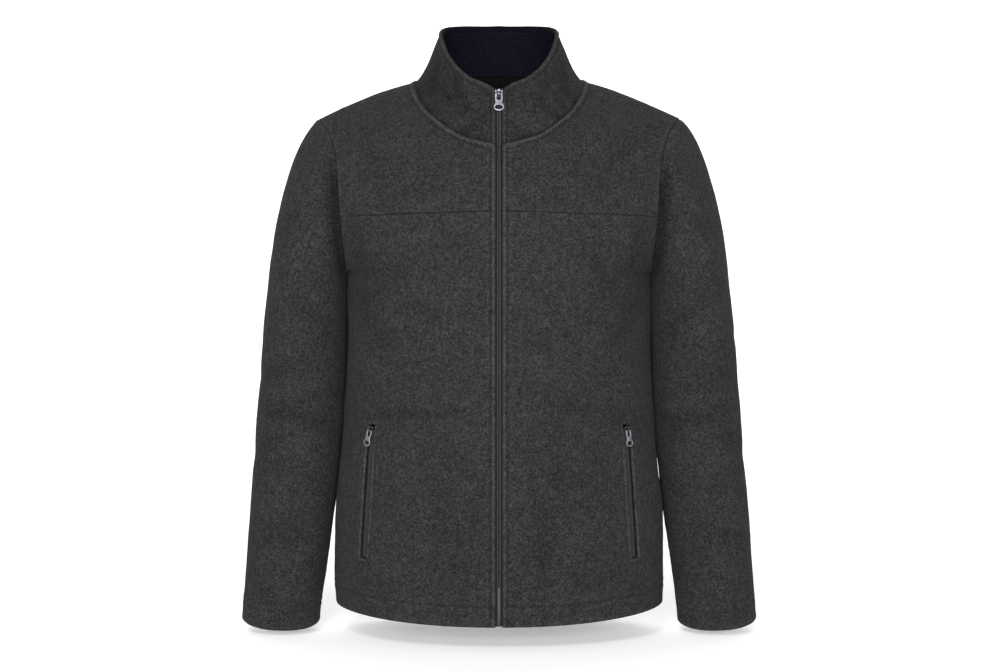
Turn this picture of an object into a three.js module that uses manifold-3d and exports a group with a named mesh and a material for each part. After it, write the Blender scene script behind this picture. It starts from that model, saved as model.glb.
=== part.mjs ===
// Fleece jacket with a full-length front zip, a stand collar, set-in sleeves and two zipped hand
// pockets. It is filled out as if worn, with no wearer inside: hem, cuffs and neck are open.
// Sizes are millimetres. +X is the wearer's left, -Y the front and +Z up. The origin lies between
// the shoulders, at the height where the collar leaves the shoulder ridge.
import * as THREE from "three";
import { mergeVertices } from "three/addons/utils/BufferGeometryUtils.js";
import Module from "manifold-3d";

const wasm = await Module();
wasm.setup();

// Driving dimensions
const CLOTH = 2.2; // fleece wall
const FACING = 2.0; // inner collar wall
const GAP = 0.3; // between two pieces at a seam
const ZIP_EDGE = 4; // from the centre front to the folded edge beside the zip
const HEM_FRONT = -681;
const HEM_SIDE = -671;
const HEM_BACK = -676;
const NECK_FRONT = -90;
const NECK_BACK = 15;
const ARMHOLE = {
  top: -46,
  bottom: -247,
  middleDepth: 2,
  halfDepth: 67,
  bottomReach: 196,
  slope: 12, // how much further out the seam stands at its top, gained evenly on the way up
  point: 27, // and how much more it gains close to the shoulder point
  pointPower: 8,
};
const FACING_TURN = 8; // degrees round the neck at which the inner collar starts
const NECK = { halfWidth: 110, halfDepth: 81, frontExtra: 7, sideShift: 4 };
const NECK_LIFT = { front: 0.35, side: 0.75 }; // how far the neck seam's cut leans upwards
const RIM = { halfWidth: 75, halfDepth: 69, shift: 3 };
const CAP_END = -262; // where the sleeve head becomes a plain tube
const CUFF = { height: -696, outerRise: 3, frontDrop: 9 };
const SQUARE = 0.92; // power that bends a sleeve's oval into a slightly squared one
const ROUND = 1.1; // millimetres round the sleeve for each degree
const FOLD_FADE = { across: 0.07, at: 0.03, sleeve: 0.3 }; // shares in which folds fade out at seams
const SPLIT = { z: 0.37, y: 0.11 }; // uneven weights, so that no two points of a rim rank alike
const GRID = {
  across: 10, // spans from the centre to the side of a body piece
  sleeveHead: 5,
  sleeveTube: 10,
  frontStep: 0.03, // longest steps between rows
  yokeStep: 0.021,
  neckStep: 0.0151,
  backStep: 0.035,
  collarUps: [0.1, 0.26, 0.44, 0.62, 0.81, 1],
};
const ZIP = { chainHalf: 3, chainFront: -0.2, tapeFront: -3, tapeBack: -4, tapeHalf: 9.5 };
const POCKET = { topX: 159, topZ: -438, bottomX: 169, bottomZ: -604, halfOpening: 4.2, deeper: 0.5 };
const MAIN_ZIP = { bottom: 0.002, chainTop: 1.88, sliderAt: 1.86 }; // shares of the centre front line
const POCKET_ZIP = { bottom: 0.006, chainTop: 0.968, sliderAt: 0.955, rows: 10 };
const SLIDER = {
  top: 7,
  long: 12.5,
  shoulderHalf: 5.2,
  footHalf: 3.2,
  plateBack: 0.75,
  plateFront: 2.25,
  rearThick: 1.2,
  rearClear: 0.7,
  neck: 2.4,
  bridgeHalf: 0.9,
  bridgeFoot: 3.4,
  bridgeThick: 1.05,
  hinge: 3.35, // height of the pull's axle above the cloth
};
const PULL = {
  thick: 1.2,
  long: 24,
  axleHalf: 0.7,
  neckHalf: 3.9,
  waist: 11, // from the axle to the narrowest place
  waistHalf: 3.3,
  slotHalf: 2.1,
  slotLong: 7.6,
  ringHalf: 6.7,
  ringRise: 5,
  ringWire: 1.95,
};
const POCKET_RUNNER = 0.87; // size of a pocket's slider and pull against the main ones

const COLOURS = {
  fleece: new THREE.MeshStandardMaterial({ color: 0x3b3b3d, roughness: 0.95, metalness: 0 }),
  facing: new THREE.MeshStandardMaterial({ color: 0x191a2b, roughness: 0.9, metalness: 0 }),
  tape: new THREE.MeshStandardMaterial({ color: 0x2b2b2f, roughness: 0.8, metalness: 0 }),
  metal: new THREE.MeshStandardMaterial({ color: 0xb4b3bd, roughness: 0.35, metalness: 0.9 }),
};

// Height of the centre front, and how far forward it stands there
const FRONT_LINE = [
  { z: -681, y: -139 },
  { z: -600, y: -136 },
  { z: -500, y: -132 },
  { z: -400, y: -130 },
  { z: -300, y: -129 },
  { z: -220, y: -123 },
  { z: -160, y: -111 },
  { z: -120, y: -100 },
  { z: -90, y: -88 },
];
const BACK_LINE = [
  { z: -676, y: 129 },
  { z: -600, y: 126 },
  { z: -500, y: 120 },
  { z: -400, y: 117 },
  { z: -300, y: 122 },
  { z: -220, y: 128 },
  { z: -150, y: 126 },
  { z: -90, y: 115 },
  { z: -40, y: 98 },
  { z: -5, y: 82 },
  { z: 15, y: 74 },
];
const SIDE_LINE = [
  { z: -671, x: 211.5 },
  { z: -640, x: 213.3 },
  { z: -590, x: 213.3 },
  { z: -546, x: 212.3 },
  { z: -514, x: 208.5 },
  { z: -450, x: 201 },
  { z: -385, x: 197.5 },
  { z: -317, x: 196 },
  { z: -247, x: 196 },
];

// Sections of half the body, in order from the front hem over the shoulder to the back hem.
// inner runs 0-1 up the centre front, 1-2 round the neckline and 2-3 down the centre back; outer
// runs 0-1 up the side seam, 1-2 round the armhole and 2-3 down the side again. The reach columns
// say how each section leaves its inner and outer end.
const SECTIONS = [
  { at: 0.0, inner: 0.0, outer: 0.0, inX: 128, inY: 0, inZ: 0, outX: 0, outY: -76, outZ: 0 },
  { at: 0.08, inner: 0.19, outer: 0.24, inX: 127, inY: 0, inZ: 0, outX: 0, outY: -74, outZ: 0 },
  { at: 0.17, inner: 0.42, outer: 0.53, inX: 120, inY: 0, inZ: 0, outX: 0, outY: -68, outZ: 0 },
  { at: 0.25, inner: 0.62, outer: 0.83, inX: 118, inY: 0, inZ: 0, outX: 0, outY: -66, outZ: 0 },
  { at: 0.3, inner: 0.72, outer: 1.0, inX: 116, inY: 0, inZ: 0, outX: 0, outY: -62, outZ: 0 },
  { at: 0.32, inner: 0.765, outer: 1.08, inX: 112, inY: 0, inZ: 0, outX: -8, outY: -48, outZ: 0 },
  { at: 0.34, inner: 0.81, outer: 1.14, inX: 102, inY: -2, inZ: 0, outX: -22, outY: -42, outZ: 0 },
  { at: 0.36, inner: 0.858, outer: 1.2, inX: 90, inY: -5, inZ: -3, outX: -36, outY: -35, outZ: 0 },
  { at: 0.38, inner: 0.93, outer: 1.265, inX: 76, inY: -5, inZ: -2, outX: -40, outY: -30, outZ: 2 },
  { at: 0.4, inner: 1.0, outer: 1.32, inX: 64, inY: -4, inZ: -4, outX: -42, outY: -25, outZ: 4 },
  { at: 0.435, inner: 1.16, outer: 1.375, inX: 46, inY: -7, inZ: -6, outX: -42, outY: -19, outZ: 8 },
  { at: 0.47, inner: 1.3, outer: 1.425, inX: 40, inY: -6, inZ: -6, outX: -40, outY: -11, outZ: 13 },
  { at: 0.5, inner: 1.439, outer: 1.472, inX: 40, inY: -2, inZ: -5, outX: -38, outY: -3, outZ: 19 },
  { at: 0.52, inner: 1.52, outer: 1.5, inX: 40, inY: 1, inZ: -6, outX: -38, outY: 2, outZ: 20 },
  { at: 0.55, inner: 1.66, outer: 1.545, inX: 44, inY: 5, inZ: -5, outX: -40, outY: 10, outZ: 16 },
  { at: 0.58, inner: 1.84, outer: 1.59, inX: 56, inY: 8, inZ: -6, outX: -44, outY: 17, outZ: 9 },
  { at: 0.6, inner: 2.0, outer: 1.625, inX: 72, inY: 8, inZ: -4, outX: -46, outY: 22, outZ: 6 },
  { at: 0.64, inner: 2.07, outer: 1.7, inX: 82, inY: 6, inZ: -2, outX: -44, outY: 28, outZ: 3 },
  { at: 0.67, inner: 2.16, outer: 1.77, inX: 92, inY: 2, inZ: 0, outX: -38, outY: 34, outZ: 0 },
  { at: 0.69, inner: 2.25, outer: 1.84, inX: 102, inY: 0, inZ: 0, outX: -25, outY: 40, outZ: 0 },
  { at: 0.71, inner: 2.34, outer: 1.92, inX: 110, inY: 0, inZ: 0, outX: -8, outY: 48, outZ: 0 },
  { at: 0.73, inner: 2.39, outer: 2.0, inX: 114, inY: 0, inZ: 0, outX: 0, outY: 62, outZ: 0 },
  { at: 0.8, inner: 2.52, outer: 2.21, inX: 116, inY: 0, inZ: 0, outX: 0, outY: 64, outZ: 0 },
  { at: 0.87, inner: 2.69, outer: 2.48, inX: 118, inY: 0, inZ: 0, outX: 0, outY: 66, outZ: 0 },
  { at: 0.94, inner: 2.86, outer: 2.77, inX: 124, inY: 0, inZ: 0, outX: 0, outY: 72, outZ: 0 },
  { at: 1.0, inner: 3.0, outer: 3.0, inX: 126, inY: 0, inZ: 0, outX: 0, outY: 74, outZ: 0 },
];
const AT = { yoke: 0.36, frontNeck: 0.4, shoulder: 0.5, backNeck: 0.6 };

// Height of the neck seam and of the collar's rim, by the turn round the neck in degrees from the
// centre front, and how the collar leaves its seam and reaches its rim
const NECK_SEAM_HEIGHTS = [
  { turn: 0, z: -90 },
  { turn: 22, z: -79 },
  { turn: 45, z: -54 },
  { turn: 65, z: -28.5 },
  { turn: 80, z: -8.5 },
  { turn: 92, z: 2 },
  { turn: 115, z: 10 },
  { turn: 145, z: 13.5 },
  { turn: 180, z: 15 },
];
const RIM_HEIGHTS = [
  { turn: 0, z: -13 },
  { turn: 5, z: -9 },
  { turn: 12, z: -6.5 },
  { turn: 25, z: -1.7 },
  { turn: 41, z: 11.8 },
  { turn: 59, z: 33.6 },
  { turn: 74, z: 54 },
  { turn: 90, z: 68 },
  { turn: 120, z: 82 },
  { turn: 150, z: 88 },
  { turn: 180, z: 90 },
];
const COLLAR_BEND = [
  { turn: 0, inward: 7, rise: 27, lean: 7, drop: 28 },
  { turn: 45, inward: 10, rise: 22, lean: 10, drop: 28 },
  { turn: 90, inward: 15, rise: 14, lean: 15, drop: 28 },
  { turn: 135, inward: 8, rise: 20, lean: 7, drop: 26 },
  { turn: 180, inward: 2, rise: 24, lean: 2, drop: 25 },
];

// Rings of the sleeve below its head
const SLEEVE_RINGS = [
  { z: -262, inner: 198.6, outer: 299.5, middle: 8, depth: 73 },
  { z: -310, inner: 197.6, outer: 305.5, middle: 11, depth: 71 },
  { z: -372, inner: 199.4, outer: 310.7, middle: 14, depth: 67 },
  { z: -434, inner: 202.9, outer: 316, middle: 16, depth: 62 },
  { z: -497, inner: 208.9, outer: 321, middle: 16, depth: 57 },
  { z: -546, inner: 214.2, outer: 325, middle: 15, depth: 53 },
  { z: -621, inner: 224.5, outer: 330, middle: 12, depth: 47 },
  { z: -684, inner: 232.7, outer: 334, middle: 10, depth: 42.5 },
  { z: -705, inner: 234.6, outer: 335, middle: 10, depth: 42 },
];

// How the sleeve's head leaves the armhole seam and reaches the tube. x and z are made of an even
// part, a part that follows the height of the turn and one that follows its square. y follows how
// far forward the turn lies.
const HEAD_REACH = {
  leave: { x: [26, 13, -10], y: -8, z: [-14, -7, 1] },
  arrive: { x: [-4, -3.5, 0], y: 2, z: [62, 48, -8] },
};

// The largest soft folds. Body folds lie at front-view places, sleeve folds at a turn round the
// sleeve in degrees (0 outside, 90 front) and a height. tilt is in degrees from level.
const BODY_FOLDS = [
  { x: 120, z: -420, tilt: -12, length: 70, width: 13, depth: 1.6 },
  { x: 165, z: -300, tilt: 62, length: 60, width: 14, depth: 1.8 },
  { x: 178, z: -215, tilt: 74, length: 42, width: 11, depth: 2.2 },
  { x: 60, z: -560, tilt: 80, length: 80, width: 16, depth: 1.5 },
  { x: 150, z: -110, tilt: 60, length: 40, width: 13, depth: 1.4 },
];
const SLEEVE_FOLDS = [
  { turn: 105, z: -300, tilt: -38, length: 55, width: 12, depth: 2.2 },
  { turn: 70, z: -372, tilt: 16, length: 60, width: 14, depth: 2.0 },
  { turn: 95, z: -430, tilt: -14, length: 52, width: 12, depth: 2.4 },
  { turn: 40, z: -470, tilt: 20, length: 50, width: 13, depth: 1.8 },
  { turn: -80, z: -400, tilt: 18, length: 58, width: 13, depth: 2.4 },
  { turn: -100, z: -450, tilt: -12, length: 50, width: 12, depth: 2.0 },
  { turn: 80, z: -585, tilt: 10, length: 45, width: 13, depth: 1.5 },
];

const vec = (x, y, z) => new THREE.Vector3(x, y, z);
const radians = THREE.MathUtils.degToRad;

// A smooth curve through one column of a table, with no overshoot between its rows.
function column(rows, key, name) {
  const sorted = [...rows].sort((a, b) => a[key] - b[key]);
  const x = sorted.map((row) => row[key]);
  const y = sorted.map((row) => row[name]);
  const slope = x.slice(1).map((next, i) => (y[i + 1] - y[i]) / (next - x[i]));
  const tangent = x.map((_, i) => {
    if (i === 0) return slope[0];
    if (i === x.length - 1) return slope[i - 1];
    const [a, b] = [slope[i - 1], slope[i]];
    if (a * b <= 0) return 0;
    const before = x[i] - x[i - 1];
    const after = x[i + 1] - x[i];
    return (3 * (before + after)) / ((2 * after + before) / a + (after + 2 * before) / b);
  });
  return (at) => {
    let i = 0;
    while (i < x.length - 2 && at > x[i + 1]) i++;
    const wide = x[i + 1] - x[i];
    const t = THREE.MathUtils.clamp((at - x[i]) / wide, 0, 1);
    return (
      y[i] * (1 + 2 * t) * (1 - t) ** 2 +
      y[i + 1] * t * t * (3 - 2 * t) +
      wide * t * (1 - t) * (tangent[i] * (1 - t) - tangent[i + 1] * t)
    );
  };
}

const columns = (rows, key, names) =>
  Object.fromEntries(names.map((name) => [name, column(rows, key, name)]));

const sections = columns(SECTIONS, "at", [
  "inner",
  "outer",
  "inX",
  "inY",
  "inZ",
  "outX",
  "outY",
  "outZ",
]);
const frontDepth = column(FRONT_LINE, "z", "y");
const backDepth = column(BACK_LINE, "z", "y");
const sideReach = column(SIDE_LINE, "z", "x");
const seamHeight = column(NECK_SEAM_HEIGHTS, "turn", "z");
const rimHeight = column(RIM_HEIGHTS, "turn", "z");
const bend = columns(COLLAR_BEND, "turn", ["inward", "rise", "lean", "drop"]);
const ring = columns(SLEEVE_RINGS, "z", ["inner", "outer", "middle", "depth"]);

function bezier(a, b, c, d, t) {
  const s = 1 - t;
  return vec(0, 0, 0)
    .addScaledVector(a, s * s * s)
    .addScaledVector(b, 3 * s * s * t)
    .addScaledVector(c, 3 * s * t * t)
    .addScaledVector(d, t * t * t);
}

// The place where a rising function of one number reaches a value.
function solve(f, value, low, high) {
  for (let i = 0; i < 40; i++) {
    const middle = (low + high) / 2;
    if (f(middle) < value) low = middle;
    else high = middle;
  }
  return (low + high) / 2;
}

// The neck seam, by the turn round the neck in degrees from the centre front.
function neckSeam(turn) {
  const a = radians(turn);
  const depth = NECK.halfDepth + NECK.frontExtra * Math.cos(a);
  return vec(
    NECK.halfWidth * Math.sin(a),
    NECK.sideShift * Math.sin(a) - depth * Math.cos(a),
    seamHeight(turn),
  );
}

// The armhole seam, by the turn in degrees from the shoulder point towards the front.
function armholeSeam(turn) {
  const a = radians(turn);
  const half = (ARMHOLE.top - ARMHOLE.bottom) / 2;
  const z = ARMHOLE.bottom + half * (1 + Math.cos(a));
  const share = (z - ARMHOLE.bottom) / (2 * half);
  return vec(
    ARMHOLE.bottomReach + ARMHOLE.slope * share + ARMHOLE.point * share ** ARMHOLE.pointPower,
    ARMHOLE.middleDepth - ARMHOLE.halfDepth * Math.sin(a),
    z,
  );
}

// Outwards from the armhole's axis: both walls that meet in the seam are cut along it.
const armholeOutward = (turn) => vec(0, -Math.sin(radians(turn)), Math.cos(radians(turn)));

function neckOutward(turn) {
  const a = radians(turn);
  const up = NECK_LIFT.front + NECK_LIFT.side * Math.sin(a) ** 2;
  return vec(Math.sin(a), -Math.cos(a), up).normalize();
}

const neckTurnOf = (inner) => (inner - 1) * 180;
const armholeTurnOf = (outer) => 180 - (outer - 1) * 360;
const cornerTurn = (Math.asin(ZIP_EDGE / NECK.halfWidth) * 180) / Math.PI;

function innerEdge(inner) {
  if (inner <= 1) {
    const z = HEM_FRONT + (NECK_FRONT - HEM_FRONT) * inner;
    return vec(ZIP_EDGE, frontDepth(z), z);
  }
  if (inner < 2) {
    const turn = neckTurnOf(inner);
    return neckSeam(turn < 90 ? Math.max(turn, cornerTurn) : turn);
  }
  const z = NECK_BACK + (HEM_BACK - NECK_BACK) * (inner - 2);
  return vec(0, backDepth(z), z);
}

function outerEdge(outer) {
  if (outer > 1 && outer < 2) return armholeSeam(armholeTurnOf(outer));
  const up = outer <= 1 ? outer : 3 - outer;
  const z = HEM_SIDE + (ARMHOLE.bottom - HEM_SIDE) * up;
  return vec(sideReach(z), ARMHOLE.middleDepth, z);
}

// The smooth body without folds, across from the inner to the outer edge.
function bodyForm(across, at) {
  const start = innerEdge(sections.inner(at));
  const end = outerEdge(sections.outer(at));
  const afterStart = start.clone().add(vec(sections.inX(at), sections.inY(at), sections.inZ(at)));
  const beforeEnd = end.clone().add(vec(sections.outX(at), sections.outY(at), sections.outZ(at)));
  return bezier(start, afterStart, beforeEnd, end, across);
}

function normalOf(form, a, b, stepA = 1e-3, stepB = 1e-3) {
  const alongA = form(a + stepA, b).sub(form(a - stepA, b));
  const alongB = form(a, b + stepB).sub(form(a, b - stepB));
  return alongA.cross(alongB).normalize();
}

// How deep a fold is at a place beside its middle.
function foldDepth(fold, right, up) {
  const tilt = radians(fold.tilt);
  const along = right * Math.cos(tilt) + up * Math.sin(tilt);
  const beside = up * Math.cos(tilt) - right * Math.sin(tilt);
  return fold.depth * Math.exp(-((beside / fold.width) ** 2) - (along / fold.length) ** 4);
}

const clampShare = (value) => THREE.MathUtils.clamp(value, 2e-3, 1 - 2e-3);

function bodyNormal(across, at) {
  return normalOf(bodyForm, clampShare(across), clampShare(at));
}

// Front folds fade out before the edges, where the panel is sewn to its neighbours.
function bodyPoint(across, at) {
  const p = bodyForm(across, at);
  const [side, top] = [Math.min(across, 1 - across), AT.shoulder - at];
  if (top <= 0) return p;
  const { smoothstep } = THREE.MathUtils;
  const fade = smoothstep(side, 0, FOLD_FADE.across) * smoothstep(top, 0, FOLD_FADE.at);
  const depth = BODY_FOLDS.reduce((sum, f) => sum + foldDepth(f, p.x - f.x, p.z - f.z), 0);
  return p.addScaledVector(bodyNormal(across, at), -depth * fade);
}

const squared = (share) => Math.sign(share) * Math.abs(share) ** SQUARE;

const headReach = ({ x, y, z }, high, front) =>
  vec(x[0] + x[1] * high + x[2] * high ** 2, y * front, z[0] + z[1] * high + z[2] * high ** 2);

function sleeveRing(turn, z) {
  const a = radians(turn);
  const half = (ring.outer(z) - ring.inner(z)) / 2;
  return vec(
    (ring.outer(z) + ring.inner(z)) / 2 + half * squared(Math.cos(a)),
    ring.middle(z) - ring.depth(z) * squared(Math.sin(a)),
    z,
  );
}

// The sleeve without folds: down 0-1 is the head, from the armhole seam, and 1-2 the tube.
function sleeveForm(turn, down) {
  const a = radians(turn);
  const [high, front] = [Math.cos(a), Math.sin(a)];
  if (down <= 1) {
    const seam = armholeSeam(turn);
    const end = sleeveRing(turn, CAP_END);
    const leave = headReach(HEAD_REACH.leave, high, front);
    const arrive = headReach(HEAD_REACH.arrive, high, front);
    return bezier(seam, leave.add(seam), arrive.add(end), end, down);
  }
  const cuff = CUFF.height + CUFF.outerRise * high - CUFF.frontDrop * front;
  return sleeveRing(turn, CAP_END + (down - 1) * (cuff - CAP_END));
}

function sleeveNormal(turn, down) {
  const at = THREE.MathUtils.clamp(down, 2e-3, 2 - 2e-3);
  return normalOf(sleeveForm, turn, at, 0.3, 1e-3);
}

function sleevePoint(turn, down) {
  const p = sleeveForm(turn, down);
  const depth = SLEEVE_FOLDS.reduce((sum, f) => {
    const beside = (((turn - f.turn + 540) % 360) - 180) * ROUND;
    return sum + foldDepth(f, beside, p.z - f.z);
  }, 0);
  const fade = THREE.MathUtils.smoothstep(down, 0, FOLD_FADE.sleeve);
  return p.addScaledVector(sleeveNormal(turn, down), -depth * fade);
}

// The collar, from its seam (up 0) to its rim (up 1).
function collarPoint(turn, up) {
  const a = radians(turn);
  const outward = vec(Math.sin(a), -Math.cos(a), 0);
  const seam = neckSeam(turn);
  const rim = vec(
    RIM.halfWidth * Math.sin(a),
    RIM.shift - RIM.halfDepth * Math.cos(a),
    rimHeight(turn),
  );
  const low = seam.clone().addScaledVector(outward, -bend.inward(turn));
  const high = rim.clone().addScaledVector(outward, bend.lean(turn));
  low.z += bend.rise(turn);
  high.z -= bend.drop(turn);
  return bezier(seam, low, high, rim, up);
}

function collarNormal(turn, up) {
  const at = THREE.MathUtils.clamp(turn, 1, 179);
  return normalOf(collarPoint, at, clampShare(up), 0.3, 1e-3);
}

// Cloth as a grid of outer points with the matching inner points: at(a, b) gives {outer, inner}.
function sheetOf(as, bs, at, closed = false) {
  const sheet = { outer: [], inner: [], quads: [] };
  for (const b of bs)
    for (const a of as) {
      const place = at(a, b);
      sheet.outer.push(place.outer);
      sheet.inner.push(place.inner);
    }
  const wide = as.length;
  const last = closed ? wide : wide - 1;
  for (let j = 0; j + 1 < bs.length; j++)
    for (let i = 0; i < last; i++) {
      const next = (i + 1) % wide;
      sheet.quads.push([j * wide + i, j * wide + next, (j + 1) * wide + next, (j + 1) * wide + i]);
    }
  return sheet;
}

function mirrored(sheet) {
  const flip = (p) => vec(-p.x, p.y, p.z);
  return {
    outer: sheet.outer.map(flip),
    inner: sheet.inner.map(flip),
    quads: sheet.quads.map((quad) => [...quad].reverse()),
  };
}

// Joins two sheets where their outer points lie on each other.
function joined(first, second) {
  const name = (p) => [p.x, p.y, p.z].map((n) => Math.round(n * 1000)).join(" ");
  const known = new Map(first.outer.map((p, i) => [name(p), i]));
  const [outer, inner] = [[...first.outer], [...first.inner]];
  const moved = second.outer.map((p, i) => {
    if (known.has(name(p))) return known.get(name(p));
    outer.push(p);
    inner.push(second.inner[i]);
    return outer.length - 1;
  });
  const quads = [...first.quads, ...second.quads.map((quad) => quad.map((i) => moved[i]))];
  return { outer, inner, quads };
}

// Decides which way a twisted rim is split, so that both walls at a seam are split alike.
const splitOrder = (p) => Math.abs(p.x) + SPLIT.z * p.z + SPLIT.y * p.y;

// A closed wall: the outer face, the inner face turned round, and a rim along each free edge.
function wallOf(sheet) {
  const count = sheet.outer.length;
  const points = [...sheet.outer, ...sheet.inner];
  const index = [];
  const edges = new Set();
  for (const quad of sheet.quads) quad.forEach((a, i) => edges.add(a + "," + quad[(i + 1) % 4]));
  for (const [a, b, c, d] of sheet.quads) {
    index.push(a, b, c, a, c, d);
    index.push(count + a, count + c, count + b, count + a, count + d, count + c);
  }
  for (const edge of edges) {
    const [a, b] = edge.split(",").map(Number);
    if (edges.has(b + "," + a)) continue;
    const [c, d] = [count + a, count + b];
    if (splitOrder(points[a]) < splitOrder(points[b])) index.push(b, a, d, a, c, d);
    else index.push(b, a, c, b, c, d);
  }
  const geometry = new THREE.BufferGeometry();
  geometry.setAttribute(
    "position",
    new THREE.Float32BufferAttribute(points.flatMap((p) => [p.x, p.y, p.z]), 3),
  );
  geometry.setIndex(index);
  return geometry;
}

const steps = (from, to, count) =>
  Array.from({ length: count + 1 }, (_, i) => from + ((to - from) * i) / count);

// Steps through a range that also land on every section of the body between its ends.
function sectionSteps(from, to, longest) {
  const stops = [from, ...SECTIONS.map((s) => s.at).filter((at) => at > from && at < to), to];
  return stops.flatMap((stop, i) => {
    if (i === 0) return [stop];
    const before = stops[i - 1];
    return steps(before, stop, Math.ceil((stop - before) / longest - 1e-9)).slice(1);
  });
}

// Rows of the body's pieces, and the turns round the armhole and the neck at which they end, so
// that what is sewn there has its points at the same places.
const frontRows = sectionSteps(0, AT.yoke, GRID.frontStep);
const facingRow = solve(sections.inner, 1 + FACING_TURN / 180, AT.frontNeck, AT.shoulder);
const yokeRows = [...sectionSteps(AT.yoke, AT.shoulder, GRID.yokeStep), facingRow];
yokeRows.sort((a, b) => a - b);
const backRows = [
  ...sectionSteps(AT.shoulder, AT.backNeck, GRID.neckStep),
  ...sectionSteps(AT.backNeck, 1, GRID.backStep).slice(1),
];
const bodyRows = [...frontRows, ...yokeRows.slice(1), ...backRows.slice(1)];
const armholeTurns = bodyRows
  .map((at) => sections.outer(at))
  .filter((outer) => outer >= 1 && outer < 2)
  .map(armholeTurnOf);
const neckTurns = bodyRows
  .map((at) => sections.inner(at))
  .filter((inner) => inner > 1 && inner <= 2)
  .map(neckTurnOf);

// A share of the way across or along that is half a seam gap in from the edge.
function halfGap(form, a, b, da, db) {
  const step = form(a + da, b + db).distanceTo(form(a, b));
  return (GAP / 2 / step) * Math.max(Math.abs(da), Math.abs(db));
}

// A body wall's point, cut along the shared direction of the seam that it ends in.
function bodyWallAt(across, at) {
  const inner = sections.inner(at);
  const outer = sections.outer(at);
  const onNeck = across === 0 && inner > 1 && inner < 2;
  const onArmhole = across === 1 && outer >= 1 && outer <= 2;
  const gap = halfGap(bodyForm, 0.5, at, 0.01, 0);
  const place = onNeck ? gap : across === 1 ? 1 - gap : across;
  const p = bodyPoint(place, at);
  let outward = bodyNormal(place, at);
  if (onNeck) outward = neckOutward(neckTurnOf(inner));
  if (onArmhole) outward = armholeOutward(armholeTurnOf(outer));
  else if (across === 1) outward.setY(0).normalize();
  if (across === 0 && inner >= 2) outward.setX(0).normalize();
  return { outer: p, inner: p.clone().addScaledVector(outward, -CLOTH) };
}

function bodySheet(rows) {
  const [from, to] = [rows[0], rows[rows.length - 1]];
  const seamed = (across, at) => {
    const gap = halfGap(bodyForm, across, at, 0, at === to ? -5e-3 : 5e-3);
    if (at === from && from > 0) return at + gap;
    return at === to && to < 1 ? at - gap : at;
  };
  const acrosses = steps(0, 1, GRID.across);
  return sheetOf(acrosses, rows, (across, at) => bodyWallAt(across, seamed(across, at)));
}

function sleeveWallAt(turn, down) {
  const gap = halfGap(sleeveForm, turn, 0.02, 0, 0.02);
  const place = down === 0 ? gap : down;
  const p = sleevePoint(turn, place);
  const outward = down === 0 ? armholeOutward(turn) : sleeveNormal(turn, place);
  return { outer: p, inner: p.clone().addScaledVector(outward, -CLOTH) };
}

function sleeveSheet() {
  const turns = [...armholeTurns].reverse();
  const downs = [...steps(0, 1, GRID.sleeveHead), ...steps(1, 2, GRID.sleeveTube).slice(1)];
  return sheetOf(turns, downs, sleeveWallAt, true);
}

const seamUp = GAP / (RIM_HEIGHTS[0].z - NECK_FRONT); // just above the neck seam
const collarRows = [seamUp, ...GRID.collarUps];

// The turn round the neck at which the collar reaches a distance from the centre front.
const collarTurnAt = (x, up) => solve((turn) => collarPoint(turn, up).x, x, 0, 60);

// One layer of the collar, between two depths under its outer face.
function collarSheet(front, back, ups, turns) {
  const half = sheetOf(turns, ups, (column, up) => {
    const turn = column || collarTurnAt(ZIP_EDGE, up);
    const p = collarPoint(turn, up);
    const outward = up === seamUp ? neckOutward(turn) : collarNormal(turn, up);
    if (turn === 180) {
      outward.setX(0).normalize();
      p.setX(0);
    }
    return {
      outer: p.clone().addScaledVector(outward, -front),
      inner: p.clone().addScaledVector(outward, -back),
    };
  });
  return joined(half, mirrored(half));
}

// The body surface at a front-view place.
function frontPlace(x, z) {
  let across = 0.5;
  let at = 0.1;
  for (let i = 0; i < 8; i++) {
    at = solve((t) => bodyForm(across, t).z, z, 0, AT.frontNeck);
    across = solve((t) => bodyForm(t, at).x, x, 0, 1);
  }
  return { p: bodyPoint(across, at), normal: bodyNormal(across, at) };
}

// The centre front line, from the hem (0) up the body (to 1) and the collar (to 2).
function frontLine(share, x) {
  if (share <= 1) {
    const z = HEM_FRONT + (NECK_FRONT - HEM_FRONT) * share;
    const slope = frontDepth(z + 1) - frontDepth(z - 1);
    return { p: vec(x, frontDepth(z), z), normal: vec(0, -2, -slope).normalize() };
  }
  const turn = collarTurnAt(x, share - 1);
  const p = collarPoint(turn, share - 1);
  const normal = collarNormal(turn, share - 1);
  if (x < 1) normal.setX(0).normalize();
  return { p, normal };
}

// A strip swept through stations: each gives the place for a distance to the side and a depth.
function strip(profile, stations) {
  const outline = profile.map(([side, depth]) => new THREE.Vector2(side, depth));
  if (THREE.ShapeUtils.isClockWise(outline)) outline.reverse();
  const count = outline.length;
  const points = stations.flatMap((station) => outline.map((o) => station(o.x, o.y)));
  const index = [];
  for (let j = 0; j + 1 < stations.length; j++)
    for (let i = 0; i < count; i++) {
      const [a, b] = [j * count + i, j * count + ((i + 1) % count)];
      index.push(a, b, b + count, a, b + count, a + count);
    }
  const top = (stations.length - 1) * count;
  for (const [a, b, c] of THREE.ShapeUtils.triangulateShape(outline, [])) {
    index.push(a, c, b);
    index.push(top + a, top + b, top + c);
  }
  const geometry = new THREE.BufferGeometry();
  geometry.setAttribute(
    "position",
    new THREE.Float32BufferAttribute(points.flatMap((p) => [p.x, p.y, p.z]), 3),
  );
  geometry.setIndex(index);
  return geometry;
}

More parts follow.
